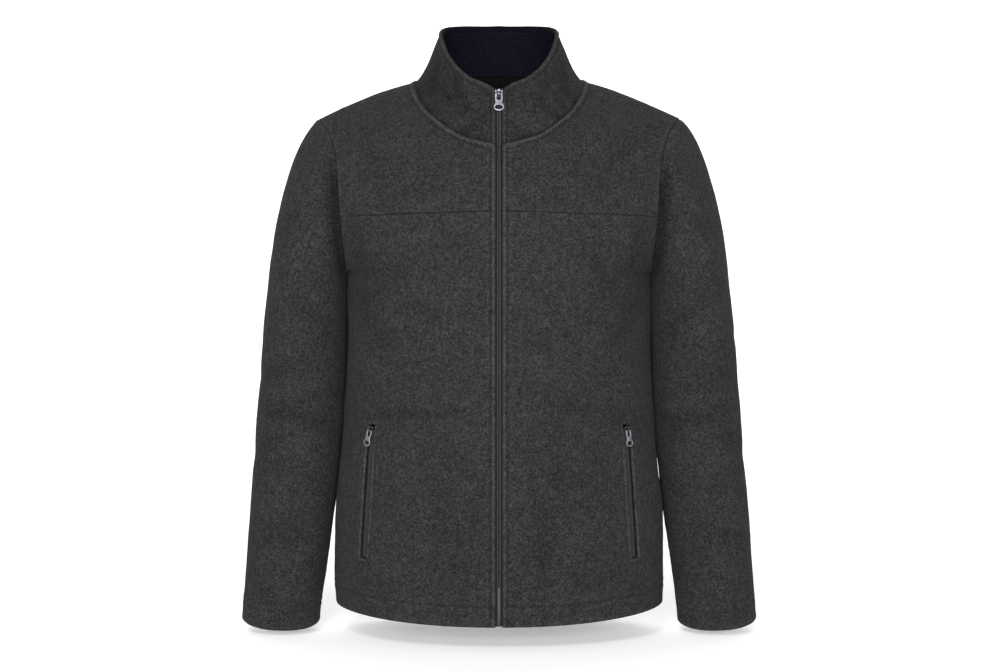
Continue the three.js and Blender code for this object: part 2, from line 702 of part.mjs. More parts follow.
function solidOf(geometry) {
  const bare = geometry.index ? geometry.toNonIndexed() : geometry.clone();
  for (const name of Object.keys(bare.attributes)) if (name !== "position") bare.deleteAttribute(name);
  const merged = mergeVertices(bare, 1e-4);
  const solid = new wasm.Manifold(
    new wasm.Mesh({
      numProp: 3,
      vertProperties: merged.attributes.position.array,
      triVerts: new Uint32Array(merged.index.array),
    }),
  );
  return solid;
}

function geometryOf(solid) {
  const mesh = solid.getMesh();
  const geometry = new THREE.BufferGeometry();
  geometry.setAttribute("position", new THREE.Float32BufferAttribute(mesh.vertProperties, 3));
  geometry.setIndex(new THREE.BufferAttribute(mesh.triVerts, 1));
  return geometry;
}

// Turns a strip's faces outwards if its profile ran the other way.
function facingOut(geometry) {
  if (solidOf(geometry).volume() > 0) return geometry;
  const index = Array.from(geometry.index.array);
  for (let i = 0; i < index.length; i += 3) [index[i + 1], index[i + 2]] = [index[i + 2], index[i + 1]];
  geometry.setIndex(index);
  return geometry;
}

// One half of a zip: a thin tape with the folded coil along its inner edge.
const tapeProfile = (edge) => [
  [edge, ZIP.chainFront],
  [ZIP.chainHalf, ZIP.chainFront],
  [ZIP.chainHalf, ZIP.tapeFront],
  [ZIP.tapeHalf, ZIP.tapeFront],
  [ZIP.tapeHalf, ZIP.tapeBack],
  [edge, ZIP.tapeBack],
];

function mainTape(side) {
  const panel = bodyRows.map((at) => sections.inner(at)).filter((inner) => inner > 0 && inner <= 1);
  const collar = collarRows.slice(1, -1).map((up) => 1 + up);
  const shares = [MAIN_ZIP.bottom, ...panel, ...collar, MAIN_ZIP.chainTop];
  const stations = shares.map((share) => (beside, depth) => {
    const { p, normal } = frontLine(share, Math.abs(beside));
    p.addScaledVector(normal, depth);
    return vec(side * p.x, p.y, p.z);
  });
  return facingOut(strip(tapeProfile(GAP / 2), stations));
}

// The pocket's own line on the front, from its bottom (0) to its top (1).
function pocketLine(share, beside) {
  const placeAt = (s) => [
    POCKET.bottomX + (POCKET.topX - POCKET.bottomX) * s,
    POCKET.bottomZ + (POCKET.topZ - POCKET.bottomZ) * s,
  ];
  const [x, z] = placeAt(share);
  const middle = frontPlace(x, z);
  const along = frontPlace(...placeAt(share + 0.01)).p.sub(middle.p);
  const sideways = along.clone().cross(middle.normal).normalize();
  if (beside === 0) return { ...middle, along, sideways };
  return frontPlace(x - sideways.x * beside, z - sideways.z * beside);
}

// Stations along the pocket between two shares of its length.
function pocketStations(from, to, count, deeper) {
  return steps(from, to, count).map((share) => (beside, depth) => {
    const { p, normal } = pocketLine(share, beside);
    return p.addScaledVector(normal, depth - deeper);
  });
}

function pocketTape() {
  const profile = [
    ...tapeProfile(-ZIP.chainHalf).slice(0, -1),
    [-ZIP.tapeHalf, ZIP.tapeBack],
    [-ZIP.tapeHalf, ZIP.tapeFront],
    [-ZIP.chainHalf, ZIP.tapeFront],
  ];
  const { bottom, chainTop, rows } = POCKET_ZIP;
  return facingOut(strip(profile, pocketStations(bottom, chainTop, rows, POCKET.deeper)));
}

// What is cut out of the front panel for the pocket's zip to show.
function pocketSlot() {
  const [half, reach] = [POCKET.halfOpening, 12];
  const profile = [
    [-half, -reach],
    [half, -reach],
    [half, reach],
    [-half, reach],
  ];
  return facingOut(strip(profile, pocketStations(0, 1, POCKET_ZIP.rows, 0)));
}

// A frame on the cloth: local X lies across the zip, Y up along it and Z out of the cloth.
function frameOf({ p, normal, along }) {
  const across = along.clone().cross(normal).normalize();
  const up = normal.clone().cross(across).normalize();
  return new THREE.Matrix4().makeBasis(across, up, normal).setPosition(p);
}

// Slider plate outline: round shoulders at the top, tapering downwards.
function plateShape() {
  const { top, long, shoulderHalf, footHalf } = SLIDER;
  const [shoulder, point] = [top - 4, 2.6];
  const shape = new THREE.Shape();
  shape.moveTo(-footHalf, top - long);
  shape.lineTo(footHalf, top - long);
  shape.lineTo(shoulderHalf, shoulder);
  shape.quadraticCurveTo(shoulderHalf, top - 1, point, top - 0.6);
  shape.lineTo(0, top);
  shape.lineTo(-point, top - 0.6);
  shape.quadraticCurveTo(-shoulderHalf, top - 1, -shoulderHalf, shoulder);
  return shape;
}

function extruded(shape, back, front, curveSegments) {
  const options = { depth: front - back, bevelEnabled: false, curveSegments };
  return new THREE.ExtrudeGeometry(shape, options).translate(0, 0, back);
}

// The arch on the slider that carries the pull. Its shape's X runs along the zip and its Y out of
// the cloth.
function bridge() {
  const { bridgeFoot, bridgeHalf, bridgeThick, hinge, plateFront } = SLIDER;
  const [base, crown] = [plateFront - 0.2, hinge + 1.35];
  const [foot, inside] = [bridgeFoot, bridgeFoot - bridgeThick];
  const shape = new THREE.Shape();
  shape.moveTo(-foot, base);
  shape.quadraticCurveTo(-foot, crown + bridgeThick, 0, crown + bridgeThick);
  shape.quadraticCurveTo(foot, crown + bridgeThick, foot, base);
  shape.lineTo(inside, base);
  shape.quadraticCurveTo(inside, crown, 0, crown);
  shape.quadraticCurveTo(-inside, crown, -inside, base);
  const standing = new THREE.Matrix4().makeBasis(vec(0, 1, 0), vec(0, 0, 1), vec(1, 0, 0));
  return extruded(shape, -bridgeHalf, bridgeHalf, 6).applyMatrix4(standing);
}

// Two plates joined above the end of the coil, and the bridge. rear is the back plate's depth.
function sliderGeometry(rear) {
  const { top, neck, plateBack, plateFront, rearThick } = SLIDER;
  const post = new THREE.BoxGeometry(neck + 0.6, neck, plateBack + rear + 1);
  post.translate(0, top - neck, (plateBack - rear) / 2);
  const solids = [
    extruded(plateShape(), plateBack, plateFront, 4),
    extruded(plateShape(), -rear - rearThick, -rear, 4),
    post,
    bridge(),
  ].map(solidOf);
  return geometryOf(solids.reduce((whole, solid) => whole.add(solid)));
}

// The pull hangs from local 0: a slotted neck over the bridge, a waist, and a ring at the end.
function pullGeometry() {
  const { long, axleHalf, neckHalf, waist, waistHalf, slotHalf, slotLong } = PULL;
  const { ringHalf, ringRise, ringWire, thick } = PULL;
  const ringMiddle = ringRise + axleHalf - long;
  const ringTop = ringMiddle + ringRise;
  const join = 0.5; // where the neck meets the ring, in radians above the ring's middle
  const shape = new THREE.Shape();
  shape.moveTo(-neckHalf + 0.5, axleHalf);
  shape.lineTo(neckHalf - 0.5, axleHalf);
  shape.lineTo(neckHalf, -2);
  shape.quadraticCurveTo(neckHalf, 3 - waist, waistHalf, -waist);
  shape.quadraticCurveTo(waistHalf, ringTop, ringHalf - 0.8, ringMiddle + ringRise / 2);
  shape.absellipse(0, ringMiddle, ringHalf, ringRise, join, -Math.PI - join, true);
  shape.quadraticCurveTo(-waistHalf, ringTop, -waistHalf, -waist);
  shape.quadraticCurveTo(-neckHalf, 3 - waist, -neckHalf, -2);
  const slot = new THREE.Path();
  slot.moveTo(-slotHalf, -axleHalf);
  slot.lineTo(-slotHalf, -slotLong);
  slot.quadraticCurveTo(0, -slotLong - slotHalf, slotHalf, -slotLong);
  slot.lineTo(slotHalf, -axleHalf);
  const hole = new THREE.Path();
  const [holeHalf, holeRise] = [ringHalf - ringWire, ringRise - ringWire];
  hole.absellipse(0, ringMiddle, holeHalf, holeRise, 0, 2 * Math.PI, false);
  shape.holes.push(slot, hole);
  return extruded(shape, -thick / 2, thick / 2, 6);
}

const jacket = new THREE.Group();
jacket.name = "fleece_jacket";

function add(name, geometry, material, parent = jacket) {
  const mesh = new THREE.Mesh(geometry, COLOURS[material]);
  mesh.name = name;
  parent.add(mesh);
  return mesh;
}

// A slider with its hanging pull, in a group that stands on the cloth.
function addRunner(names, frame, { size, tilt, deeper }) {
  const runner = new THREE.Group();
  runner.applyMatrix4(frame);
  runner.scale.setScalar(size);
  jacket.add(runner);
  const tapeBack = -ZIP.tapeBack + deeper;
  add(names.slider, sliderGeometry((tapeBack + SLIDER.rearClear) / size), "metal", runner);
  const hinge = new THREE.Group();
  hinge.name = names.pull + "_hinge";
  hinge.position.z = SLIDER.hinge;
  hinge.rotation.z = radians(tilt);
  runner.add(hinge);
  add(names.pull, pullGeometry(), "metal", hinge);
}

const sides = [
  { name: "left", sign: 1, pullTilt: 5 },
  { name: "right", sign: -1, pullTilt: -14 },
];
const oneSide = (sheet, sign) => (sign > 0 ? sheet : mirrored(sheet));

const frontSheet = bodySheet(frontRows);
const yokeSheet = bodySheet(yokeRows);
const slot = solidOf(pocketSlot());
for (const { name, sign } of sides) {
  const panel = solidOf(wallOf(oneSide(frontSheet, sign)));
  const opening = sign > 0 ? slot : slot.mirror([1, 0, 0]);
  add("front_" + name, geometryOf(panel.subtract(opening)), "fleece");
  add("yoke_" + name, wallOf(oneSide(yokeSheet, sign)), "fleece");
}

const backHalf = bodySheet(backRows);
add("back", wallOf(joined(backHalf, mirrored(backHalf))), "fleece");

const sleeve = sleeveSheet();
for (const { name, sign } of sides) add("sleeve_" + name, wallOf(oneSide(sleeve, sign)), "fleece");

const facingFront = CLOTH + GAP;
const facingBack = facingFront + FACING;
const facingRows = collarRows.slice(1);
add("collar", wallOf(collarSheet(0, CLOTH, collarRows, [0, ...neckTurns])), "fleece");
add("collar_facing", wallOf(collarSheet(facingFront, facingBack, facingRows, neckTurns)), "facing");

for (const { name, sign } of sides) add("zip_tape_" + name, mainTape(sign), "tape");
const top = frontLine(MAIN_ZIP.sliderAt, 0);
const along = frontLine(MAIN_ZIP.sliderAt + 0.02, 0).p.sub(top.p).normalize();
addRunner({ slider: "zip_slider", pull: "zip_pull" }, frameOf({ ...top, along }), {
  size: 1,
  tilt: 0,
  deeper: 0,
});

for (const { name, sign, pullTilt } of sides) {
  const tape = sign > 0 ? pocketTape() : geometryOf(solidOf(pocketTape()).mirror([1, 0, 0]));
  add("pocket_zip_" + name, tape, "tape");
  const line = pocketLine(POCKET_ZIP.sliderAt, 0);
  const flip = (v) => vec(sign * v.x, v.y, v.z);
  const frame = frameOf({ p: flip(line.p), normal: flip(line.normal), along: flip(line.along) });
  addRunner({ slider: "pocket_slider_" + name, pull: "pocket_pull_" + name }, frame, {
    size: POCKET_RUNNER,
    tilt: pullTilt,
    deeper: POCKET.deeper,
  });
}

export default jacket;
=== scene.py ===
import functools
import itertools
import math

import bmesh
import bpy
import numpy as np
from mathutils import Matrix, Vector


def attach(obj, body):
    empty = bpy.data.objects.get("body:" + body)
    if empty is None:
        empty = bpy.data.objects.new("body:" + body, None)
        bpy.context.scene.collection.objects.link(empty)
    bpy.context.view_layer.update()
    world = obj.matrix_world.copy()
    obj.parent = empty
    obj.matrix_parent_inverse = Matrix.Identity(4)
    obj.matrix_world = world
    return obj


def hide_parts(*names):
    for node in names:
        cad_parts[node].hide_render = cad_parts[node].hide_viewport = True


# A charcoal fleece jacket, filled out with no wearer. The cloth is made as thin shells on the forms
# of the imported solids, from the same tables. Sizes are millimetres until a mesh is made.
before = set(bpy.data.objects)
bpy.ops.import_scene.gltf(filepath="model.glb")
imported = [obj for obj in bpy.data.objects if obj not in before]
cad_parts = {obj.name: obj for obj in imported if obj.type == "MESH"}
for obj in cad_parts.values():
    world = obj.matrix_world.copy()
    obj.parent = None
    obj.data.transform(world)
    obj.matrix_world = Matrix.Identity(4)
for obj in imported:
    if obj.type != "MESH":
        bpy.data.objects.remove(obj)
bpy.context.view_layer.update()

# Driving dimensions, as in the solids
CLOTH = 2.2
FACING = 2.0
LAYER_GAP = 0.3
ZIP_EDGE = 4.0
HEM_FRONT, HEM_SIDE, HEM_BACK = -681.0, -671.0, -676.0
NECK_FRONT, NECK_BACK = -90.0, 15.0
ARMHOLE_TOP, ARMHOLE_BOTTOM = -46.0, -247.0
ARMHOLE_MIDDLE, ARMHOLE_HALF, ARMHOLE_REACH = 2.0, 67.0, 196.0
ARMHOLE_SLOPE, ARMHOLE_POINT, ARMHOLE_POWER = 12.0, 27.0, 8
FACING_TURN = 8.0
FACING_SHARES = (0.1, 0.988)  # from how low to how high on the collar its facing reaches
FAR = 99.0  # farther than any edge that matters
NECK_HALF_WIDTH, NECK_HALF_DEPTH, NECK_EXTRA, NECK_SHIFT = 110.0, 81.0, 7.0, 4.0
NECK_LIFT, NECK_SIDE_LIFT = 0.35, 0.75
RIM_HALF_WIDTH, RIM_HALF_DEPTH, RIM_SHIFT = 75.0, 69.0, 3.0
CAP_END = -262.0
CUFF_HEIGHT, CUFF_RISE, CUFF_DROP = -696.0, 3.0, 9.0
# How the sleeve's head leaves the armhole and reaches the tube. Sideways and upright numbers are
# a level, a slope and a bow over the height on the ring, from -1 to 1
HEAD = (((26, 13, -10), -8, (-14, -7, 1)), ((-4, -3.5, 0), 2, (62, 48, -8)))
SQUARE = 0.92
ROUND = 1.1
POCKET_TOP = (159.0, -438.0)
POCKET_BOTTOM = (169.0, -604.0)
POCKET_HALF = 5.4  # the cloth's folds stand a little back from the solids' slit
POCKET_DEEPER = 0.5
TAPE_HALF, TAPE_FRONT, TAPE_BACK, TAPE_SOFT = 9.5, -3.0, -4.0, 0.3
MAIN_ROWS, POCKET_ROWS = 150, 24  # rows of points along the tapes
CHAIN_HALF, CHAIN_GAP = 3.0, 0.12
LOOP_START, LOOP_SHORT = 0.3, 0.1  # a loop's two ends, from the chain's middle and its edge
LOOP_DEPTH, LOOP_HALF_HIGH, LOOP_SHARE = 0.95, 0.7, 0.43
BAND_DEPTH, BAND_HALF_HIGH = 1.95, 1.1
CHAIN_LOW, CHAIN_TOP, SLIDER_AT = 0.002, 1.88, 1.86
POCKET_CHAIN_LOW, POCKET_CHAIN_TOP, POCKET_SLIDER_AT = 0.006, 0.968, 0.955
HINGE = 3.35
POCKET_RUNNER = 0.87
AT_YOKE, AT_FRONT_NECK, AT_SHOULDER, AT_BACK_NECK = 0.36, 0.4, 0.5, 0.6

# Sewing
HEM = 25.0  # from the hem's or cuff's edge to its stitch line
HEM_EXTRA = 1.5  # how much thicker the doubled cloth is
ZIP_STITCH = 6.4  # from the folded edge beside the zip to its stitch line
POCKET_STITCH = 4.9
NECK_STITCH = 7.2
RIM_STITCH = 6.8
FACING_STITCH = 9.0
POCKET_RIDGE, UNDER_PULL = 1.7, 0.8  # the swell of the pocket's edge, and how much lower by the pull
PULL_REACH = (0.76, 0.86)  # shares of the pocket's line between which its edge gets lower
SEAM_DIP, SEAM_DIP_WIDTH = 0.8, 1.0
SEAM_ROLL = 0.6  # width in which a seamed edge rolls down
STITCH_PITCH, STITCH_LIFT = 3.3, 0.06
STITCH_SIZE = (2.4, 0.25, 0.25)  # its length, then its radii
BAR_PITCH = 1.35  # between two coil loops of a zip
PAINTED_LIGHT_PER_MM = 0.42  # painted light: how much lighter the colour is drawn for each millimetre of relief, a painted highlight on ridges and painted shade in grooves
PAINTED_LIGHT_RANGE = (0.42, 1.6)
FOLD_PAINTED_SHADE = 0.22  # painted shade in folds: how far a fold's depth counts as relief for the painted light
TUCK, TUCK_REACH = 4.0, 14.0  # how far the sleeve tucks in beside the front of its armhole
TUCK_PAINTED_SHADE = 1.4  # and how much painted shade darkens the tuck there
# Painted shade on the cloth's inside faces, which are drawn much darker; and how much darker the collar's
# colour is drawn overall
INNER_PAINTED_SHADE, COLLAR_TONE = 0.15, 0.78
PRESS, PRESS_WIDTH = 1.4, 34.0  # how far sleeve and body bulge towards each other under the arm
PRESS_HEIGHTS = ((-275.0, 50.0), (-432.0, 52.0))
CORNER_DROP, CORNER_REACH = 9.0, 12.0  # the collar's front corners dip to the slider

# Swells of cloth beside an edge: height, distance from the edge and half width
ZIP_SWELL = (1.5, 2.7, 1.9)
RIM_SWELL = (1.9, 2.6, 2.6)
HEM_SWELL = (0.35, 4.0, 4.0)
FACING_SWELL = (0.5, 3.4, 2.6)
NECK_GROOVE = (0.9, 0.6, 1.8)
RIDGE_GROOVE = (0.9, NECK_STITCH + 0.8, 1.4)
NECK_RIDGE, RIDGE_RISE, RIDGE_FALL = 1.9, (0.2, 2.2), (5.0, 7.6)
UNDER_SEAM = (0.55, 0, 1.3)
POCKET_SWELL = (2.2, 1.5)
STITCH_SWELL = 0.28  # with a place and half width before the stitches, and after them
BEFORE_STITCH, AFTER_STITCH = (3.0, 1.9), (3.2, 2.2)
CALM = (2, 22)  # from how far to how far beside an edge the cloth gets its lumps
TUCK_TURNS = (48, 92, 155, 180)  # turns round the sleeve where the tuck begins and ends
SLIT_ROUND, SLIT_END = 1.2, 0.05  # the rounding of the slit's ends and how close a row has to be
LUMPS = ((0.8, 62), (0.32, 21), (0.12, 7))  # heights and sizes
PUCKERS = ((0.65, 10, 0), (0.35, 4.5, 31))  # shares, wavelengths and seeds
RIPPLES = ((1.2, 13, 3, 0), (0.6, 7, 8, 0.25))  # heights, wavelengths, seeds and leans
RIPPLES_FADE = (6, 62)  # heights above the neck seam between which they get lower

# Seeds of uneven seams, for the wearer's left (1) and right (-1)
SEEDS = {
    "front": {1: 11, -1: 47},
    "yoke": {1: 5, -1: 29},
    "back": {1: 61, -1: 83},
    "sleeve": {1: 101, -1: 131},
}

STEP = 3.6  # usual distance between grid lines
ROW_SAMPLES = 201
ZIP_SAMPLES = 600
SLEEVE_COLUMNS = 120
HALVINGS, ROUNDS = 24, 8  # steps of the searches for a place on a form
WELD, SPECK = 2e-6, 1e-7  # metres within which points become one and an edge is nothing
SPREAD_SAMPLES = 4000
EDGE_MARK = (0.22, 0.9)  # finest step and reach of the closer lines at an edge
LINE_MARK = (1.1, 3.0)
SWELL_MARK = (3, 1.6, 3.0)
END_MARK = (0.35, 1.6)
SEAM_MARK = (0.9, 3.0)
METRES = 0.001
TAPE_SHARP, COIL_SHARP, METAL_SHARP = 50, 60, 40  # degrees from which an edge stays sharp


def table(header, *rows):
    """Rows of numbers as named columns."""
    return {name: np.array(values, float) for name, values in zip(header.split(), zip(*rows))}


FRONT_LINE = table(
    "z y",
    (-681, -139), (-600, -136), (-500, -132), (-400, -130), (-300, -129),
    (-220, -123), (-160, -111), (-120, -100), (-90, -88),
)
BACK_LINE = table(
    "z y",
    (-676, 129), (-600, 126), (-500, 120), (-400, 117), (-300, 122), (-220, 128),
    (-150, 126), (-90, 115), (-40, 98), (-5, 82), (15, 74),
)
SIDE_LINE = table(
    "z x",
    (-671, 211.5), (-640, 213.3), (-590, 213.3), (-546, 212.3), (-514, 208.5),
    (-450, 201), (-385, 197.5), (-317, 196), (-247, 196),
)
# Sections of half the body, from the front hem over the shoulder to the back hem
SECTIONS = table(
    "at inner outer inX inY inZ outX outY outZ",
    (0.0, 0.0, 0.0, 128, 0, 0, 0, -76, 0),
    (0.08, 0.19, 0.24, 127, 0, 0, 0, -74, 0),
    (0.17, 0.42, 0.53, 120, 0, 0, 0, -68, 0),
    (0.25, 0.62, 0.83, 118, 0, 0, 0, -66, 0),
    (0.3, 0.72, 1.0, 116, 0, 0, 0, -62, 0),
    (0.32, 0.765, 1.08, 112, 0, 0, -8, -48, 0),
    (0.34, 0.81, 1.14, 102, -2, 0, -22, -42, 0),
    (0.36, 0.858, 1.2, 90, -5, -3, -36, -35, 0),
    (0.38, 0.93, 1.265, 76, -5, -2, -40, -30, 2),
    (0.4, 1.0, 1.32, 64, -4, -4, -42, -25, 4),
    (0.435, 1.16, 1.375, 46, -7, -6, -42, -19, 8),
    (0.47, 1.3, 1.425, 40, -6, -6, -40, -11, 13),
    (0.5, 1.439, 1.472, 40, -2, -5, -38, -3, 19),
    (0.52, 1.52, 1.5, 40, 1, -6, -38, 2, 20),
    (0.55, 1.66, 1.545, 44, 5, -5, -40, 10, 16),
    (0.58, 1.84, 1.59, 56, 8, -6, -44, 17, 9),
    (0.6, 2.0, 1.625, 72, 8, -4, -46, 22, 6),
    (0.64, 2.07, 1.7, 82, 6, -2, -44, 28, 3),
    (0.67, 2.16, 1.77, 92, 2, 0, -38, 34, 0),
    (0.69, 2.25, 1.84, 102, 0, 0, -25, 40, 0),
    (0.71, 2.34, 1.92, 110, 0, 0, -8, 48, 0),
    (0.73, 2.39, 2.0, 114, 0, 0, 0, 62, 0),
    (0.8, 2.52, 2.21, 116, 0, 0, 0, 64, 0),
    (0.87, 2.69, 2.48, 118, 0, 0, 0, 66, 0),
    (0.94, 2.86, 2.77, 124, 0, 0, 0, 72, 0),
    (1.0, 3.0, 3.0, 126, 0, 0, 0, 74, 0),
)
NECK_SEAM_HEIGHTS = table(
    "turn z",
    (0, -90), (22, -79), (45, -54), (65, -28.5), (80, -8.5), (92, 2), (115, 10), (145, 13.5),
    (180, 15),
)
RIM_HEIGHTS = table(
    "turn z",
    (0, -13), (5, -9), (12, -6.5), (25, -1.7), (41, 11.8), (59, 33.6), (74, 54), (90, 68),
    (120, 82), (150, 88), (180, 90),
)
COLLAR_BEND = table(
    "turn inward rise lean drop",
    (0, 7, 27, 7, 28), (45, 10, 22, 10, 28), (90, 15, 14, 15, 28), (135, 8, 20, 7, 26),
    (180, 2, 24, 2, 25),
)
SLEEVE_RINGS = table(
    "z inner outer middle depth",
    (-262, 198.6, 299.5, 8, 73), (-310, 197.6, 305.5, 11, 71), (-372, 199.4, 310.7, 14, 67),
    (-434, 202.9, 316, 16, 62), (-497, 208.9, 321, 16, 57), (-546, 214.2, 325, 15, 53),
    (-621, 224.5, 330, 12, 47), (-684, 232.7, 334, 10, 42.5), (-705, 234.6, 335, 10, 42),
)

# Folds of the solids, on both sides alike. The body's lie at front-view places, the sleeve's at a
# turn round the sleeve and a height. tilt is in degrees from level.
FOLD_COLUMNS = "x z tilt length width depth"
TURN_COLUMNS = "turn z tilt length width depth"
BODY_FOLDS = table(
    FOLD_COLUMNS,
    (120, -420, -12, 70, 13, 1.6), (165, -300, 62, 60, 14, 1.8), (178, -215, 74, 42, 11, 2.2),
    (60, -560, 80, 80, 16, 1.5), (150, -110, 60, 40, 13, 1.4),
)
SLEEVE_FOLDS = table(
    TURN_COLUMNS,
    (105, -300, -38, 55, 12, 2.2), (70, -372, 16, 60, 14, 2.0), (95, -430, -14, 52, 12, 2.4),
    (40, -470, 20, 50, 13, 1.8), (-80, -400, 18, 58, 13, 2.4), (-100, -450, -12, 50, 12, 2.0),
    (80, -585, 10, 45, 13, 1.5),
)

# Finer creases, on one side only. x is positive on the wearer's left. A negative depth is a ridge.
FRONT_CREASES = table(
    FOLD_COLUMNS,
    (-90, -423, 2, 62, 5, 1.3), (-96, -412, 3, 55, 6, -0.9), (-60, -470, -24, 48, 8, 0.8),
    (-120, -520, 30, 44, 9, 0.9), (-40, -610, 12, 40, 9, 0.8), (-150, -640, -20, 36, 8, 0.9),
    (-70, -300, -14, 60, 13, 0.9), (-130, -250, 48, 46, 11, 1.3), (-55, -215, 8, 40, 10, 0.6),
    (-120, -150, 34, 42, 11, 1.0), (-30, -545, 68, 46, 8, 0.7),
    (70, -452, 14, 58, 8, 1.0), (100, -505, -22, 52, 10, 0.9), (38, -590, -18, 44, 9, 0.8),
    (128, -628, 16, 40, 9, 0.9), (60, -330, 18, 62, 13, 0.9), (140, -262, -50, 48, 11, 1.3),
    (84, -232, -10, 42, 10, 0.7), (112, -140, -36, 40, 11, 0.9), (28, -400, 74, 40, 8, 0.7),
)
BACK_CREASES = table(
    FOLD_COLUMNS,
    (-150, -270, 58, 60, 12, 2.4), (150, -285, -60, 64, 12, 2.4), (-120, -200, 70, 46, 11, 1.6),
    (124, -210, -68, 48, 11, 1.6), (-60, -420, 14, 80, 13, 1.8), (70, -450, -18, 76, 13, 1.9),
    (10, -520, 6, 90, 14, 1.5), (-90, -580, -24, 60, 12, 1.3), (96, -600, 20, 58, 12, 1.3),
    (0, -130, 3, 70, 14, 1.2), (-70, -330, 30, 58, 12, 1.4), (64, -350, -34, 56, 12, 1.3),
    (-20, -640, 78, 44, 12, 1.0), (34, -70, -12, 44, 11, 0.8),
)
COLLAR_CREASES = table(
    FOLD_COLUMNS,
    (-48, -20, -72, 26, 5, 1.5), (-39, -14, -70, 22, 5, -0.9), (-82, -1, 84, 22, 5, 1.4),
    (-66, -22, -60, 20, 5, 0.9), (58, -16, 70, 24, 6, 0.9), (84, 4, -82, 20, 5, 1.0),
    (30, -48, 30, 16, 5, 0.6),
)
LEFT_SLEEVE_CREASES = table(
    TURN_COLUMNS,
    (75, -345, 10, 46, 7, 1.2), (110, -398, -20, 40, 7, 1.3), (60, -445, 14, 48, 8, 1.0),
    (100, -520, -10, 44, 9, 1.0), (70, -640, 12, 38, 9, 0.8), (20, -330, -14, 44, 9, 0.9),
    (-60, -350, -18, 50, 9, 1.4), (-110, -500, 16, 46, 10, 1.3), (-70, -580, -10, 44, 10, 1.0),
    (150, -430, 24, 40, 8, 1.2), (50, -200, 40, 44, 10, 1.1), (-50, -210, -36, 46, 10, 1.2),
)
RIGHT_SLEEVE_CREASES = table(
    TURN_COLUMNS,
    (85, -330, -12, 50, 8, 1.1), (100, -410, 14, 44, 7, 1.4), (65, -490, -16, 46, 9, 1.0),
    (95, -560, 10, 42, 9, 0.9), (60, -655, -10, 36, 9, 0.8), (10, -380, 16, 44, 9, 0.9),
    (-75, -370, 14, 52, 9, 1.4), (-100, -480, -20, 46, 10, 1.2), (-60, -610, 12, 44, 10, 1.0),
    (155, -400, -22, 40, 8, 1.2), (45, -190, 36, 46, 10, 1.1), (-45, -225, -40, 44, 10, 1.1),
)


def curve(rows, key, name):
    """A smooth curve through one column of a table, with no overshoot between its rows."""
    order = np.argsort(rows[key])
    x, y = rows[key][order], rows[name][order]
    wide = np.diff(x)
    slope = np.diff(y) / wide
    tangent = np.zeros(len(x))
    tangent[0], tangent[-1] = slope[0], slope[-1]
    for i in range(1, len(x) - 1):
        before, after = slope[i - 1], slope[i]
        if before * after > 0:
            low = (2 * wide[i] + wide[i - 1]) / before
            high = (wide[i] + 2 * wide[i - 1]) / after
            tangent[i] = 3 * (wide[i - 1] + wide[i]) / (low + high)

    def value(at):
        at = np.asarray(at, float)
        i = np.clip(np.searchsorted(x, at) - 1, 0, len(x) - 2)
        t = np.clip((at - x[i]) / wide[i], 0, 1)
        ends = y[i] * (1 + 2 * t) * (1 - t) ** 2 + y[i + 1] * t * t * (3 - 2 * t)
        return ends + wide[i] * t * (1 - t) * (tangent[i] * (1 - t) - tangent[i + 1] * t)

    return value


def curves(rows, key):
    return {name: curve(rows, key, name) for name in rows if name != key}


sections = curves(SECTIONS, "at")
front_depth = curve(FRONT_LINE, "z", "y")
back_depth = curve(BACK_LINE, "z", "y")
side_reach = curve(SIDE_LINE, "z", "x")
seam_height = curve(NECK_SEAM_HEIGHTS, "turn", "z")
rim_height = curve(RIM_HEIGHTS, "turn", "z")
bend = curves(COLLAR_BEND, "turn")
ring = curves(SLEEVE_RINGS, "z")


def xyz(x, y, z):
    return np.stack(np.broadcast_arrays(np.asarray(x, float), y, z), axis=-1)


def unit(v):
    return v / np.linalg.norm(v, axis=-1, keepdims=True)


def pick(condition, a, b):
    return np.where(np.asarray(condition)[..., None], a, b)


def smooth(x, low, high):
    t = np.clip((x - low) / (high - low), 0, 1)
    return t * t * (3 - 2 * t)


def bezier(a, b, c, d, t):
    t = np.asarray(t)[..., None]
    s = 1 - t
    return a * s**3 + 3 * b * s * s * t + 3 * c * s * t * t + d * t**3


def solve(f, value, low, high):
    """The places where a rising function reaches the values."""
    shape = np.shape(value)
    low, high = np.full(shape, float(low)), np.full(shape, float(high))
    for _ in range(HALVINGS):
        middle = (low + high) / 2
        below = f(middle) < value
        low, high = np.where(below, middle, low), np.where(below, high, middle)
    return (low + high) / 2


def neck_seam(turn):
    a = np.radians(turn)
    depth = NECK_HALF_DEPTH + NECK_EXTRA * np.cos(a)
    y = NECK_SHIFT * np.sin(a) - depth * np.cos(a)
    return xyz(NECK_HALF_WIDTH * np.sin(a), y, seam_height(turn))


def armhole_seam(turn):
    a = np.radians(turn)
    share = (1 + np.cos(a)) / 2
    x = ARMHOLE_REACH + ARMHOLE_SLOPE * share + ARMHOLE_POINT * share**ARMHOLE_POWER
    z = ARMHOLE_BOTTOM + (ARMHOLE_TOP - ARMHOLE_BOTTOM) * share
    return xyz(x, ARMHOLE_MIDDLE - ARMHOLE_HALF * np.sin(a), z)


def armhole_outward(turn):
    a = np.radians(turn)
    return xyz(0, -np.sin(a), np.cos(a))


def neck_outward(turn):
    a = np.radians(turn)
    return unit(xyz(np.sin(a), -np.cos(a), NECK_LIFT + NECK_SIDE_LIFT * np.sin(a) ** 2))


NECK_LINE = neck_seam(np.linspace(0, 180, 361))


def neck_turn_of(inner):
    return (inner - 1) * 180


def armhole_turn_of(outer):
    return 180 - (outer - 1) * 360


CORNER_TURN = math.degrees(math.asin(ZIP_EDGE / NECK_HALF_WIDTH))


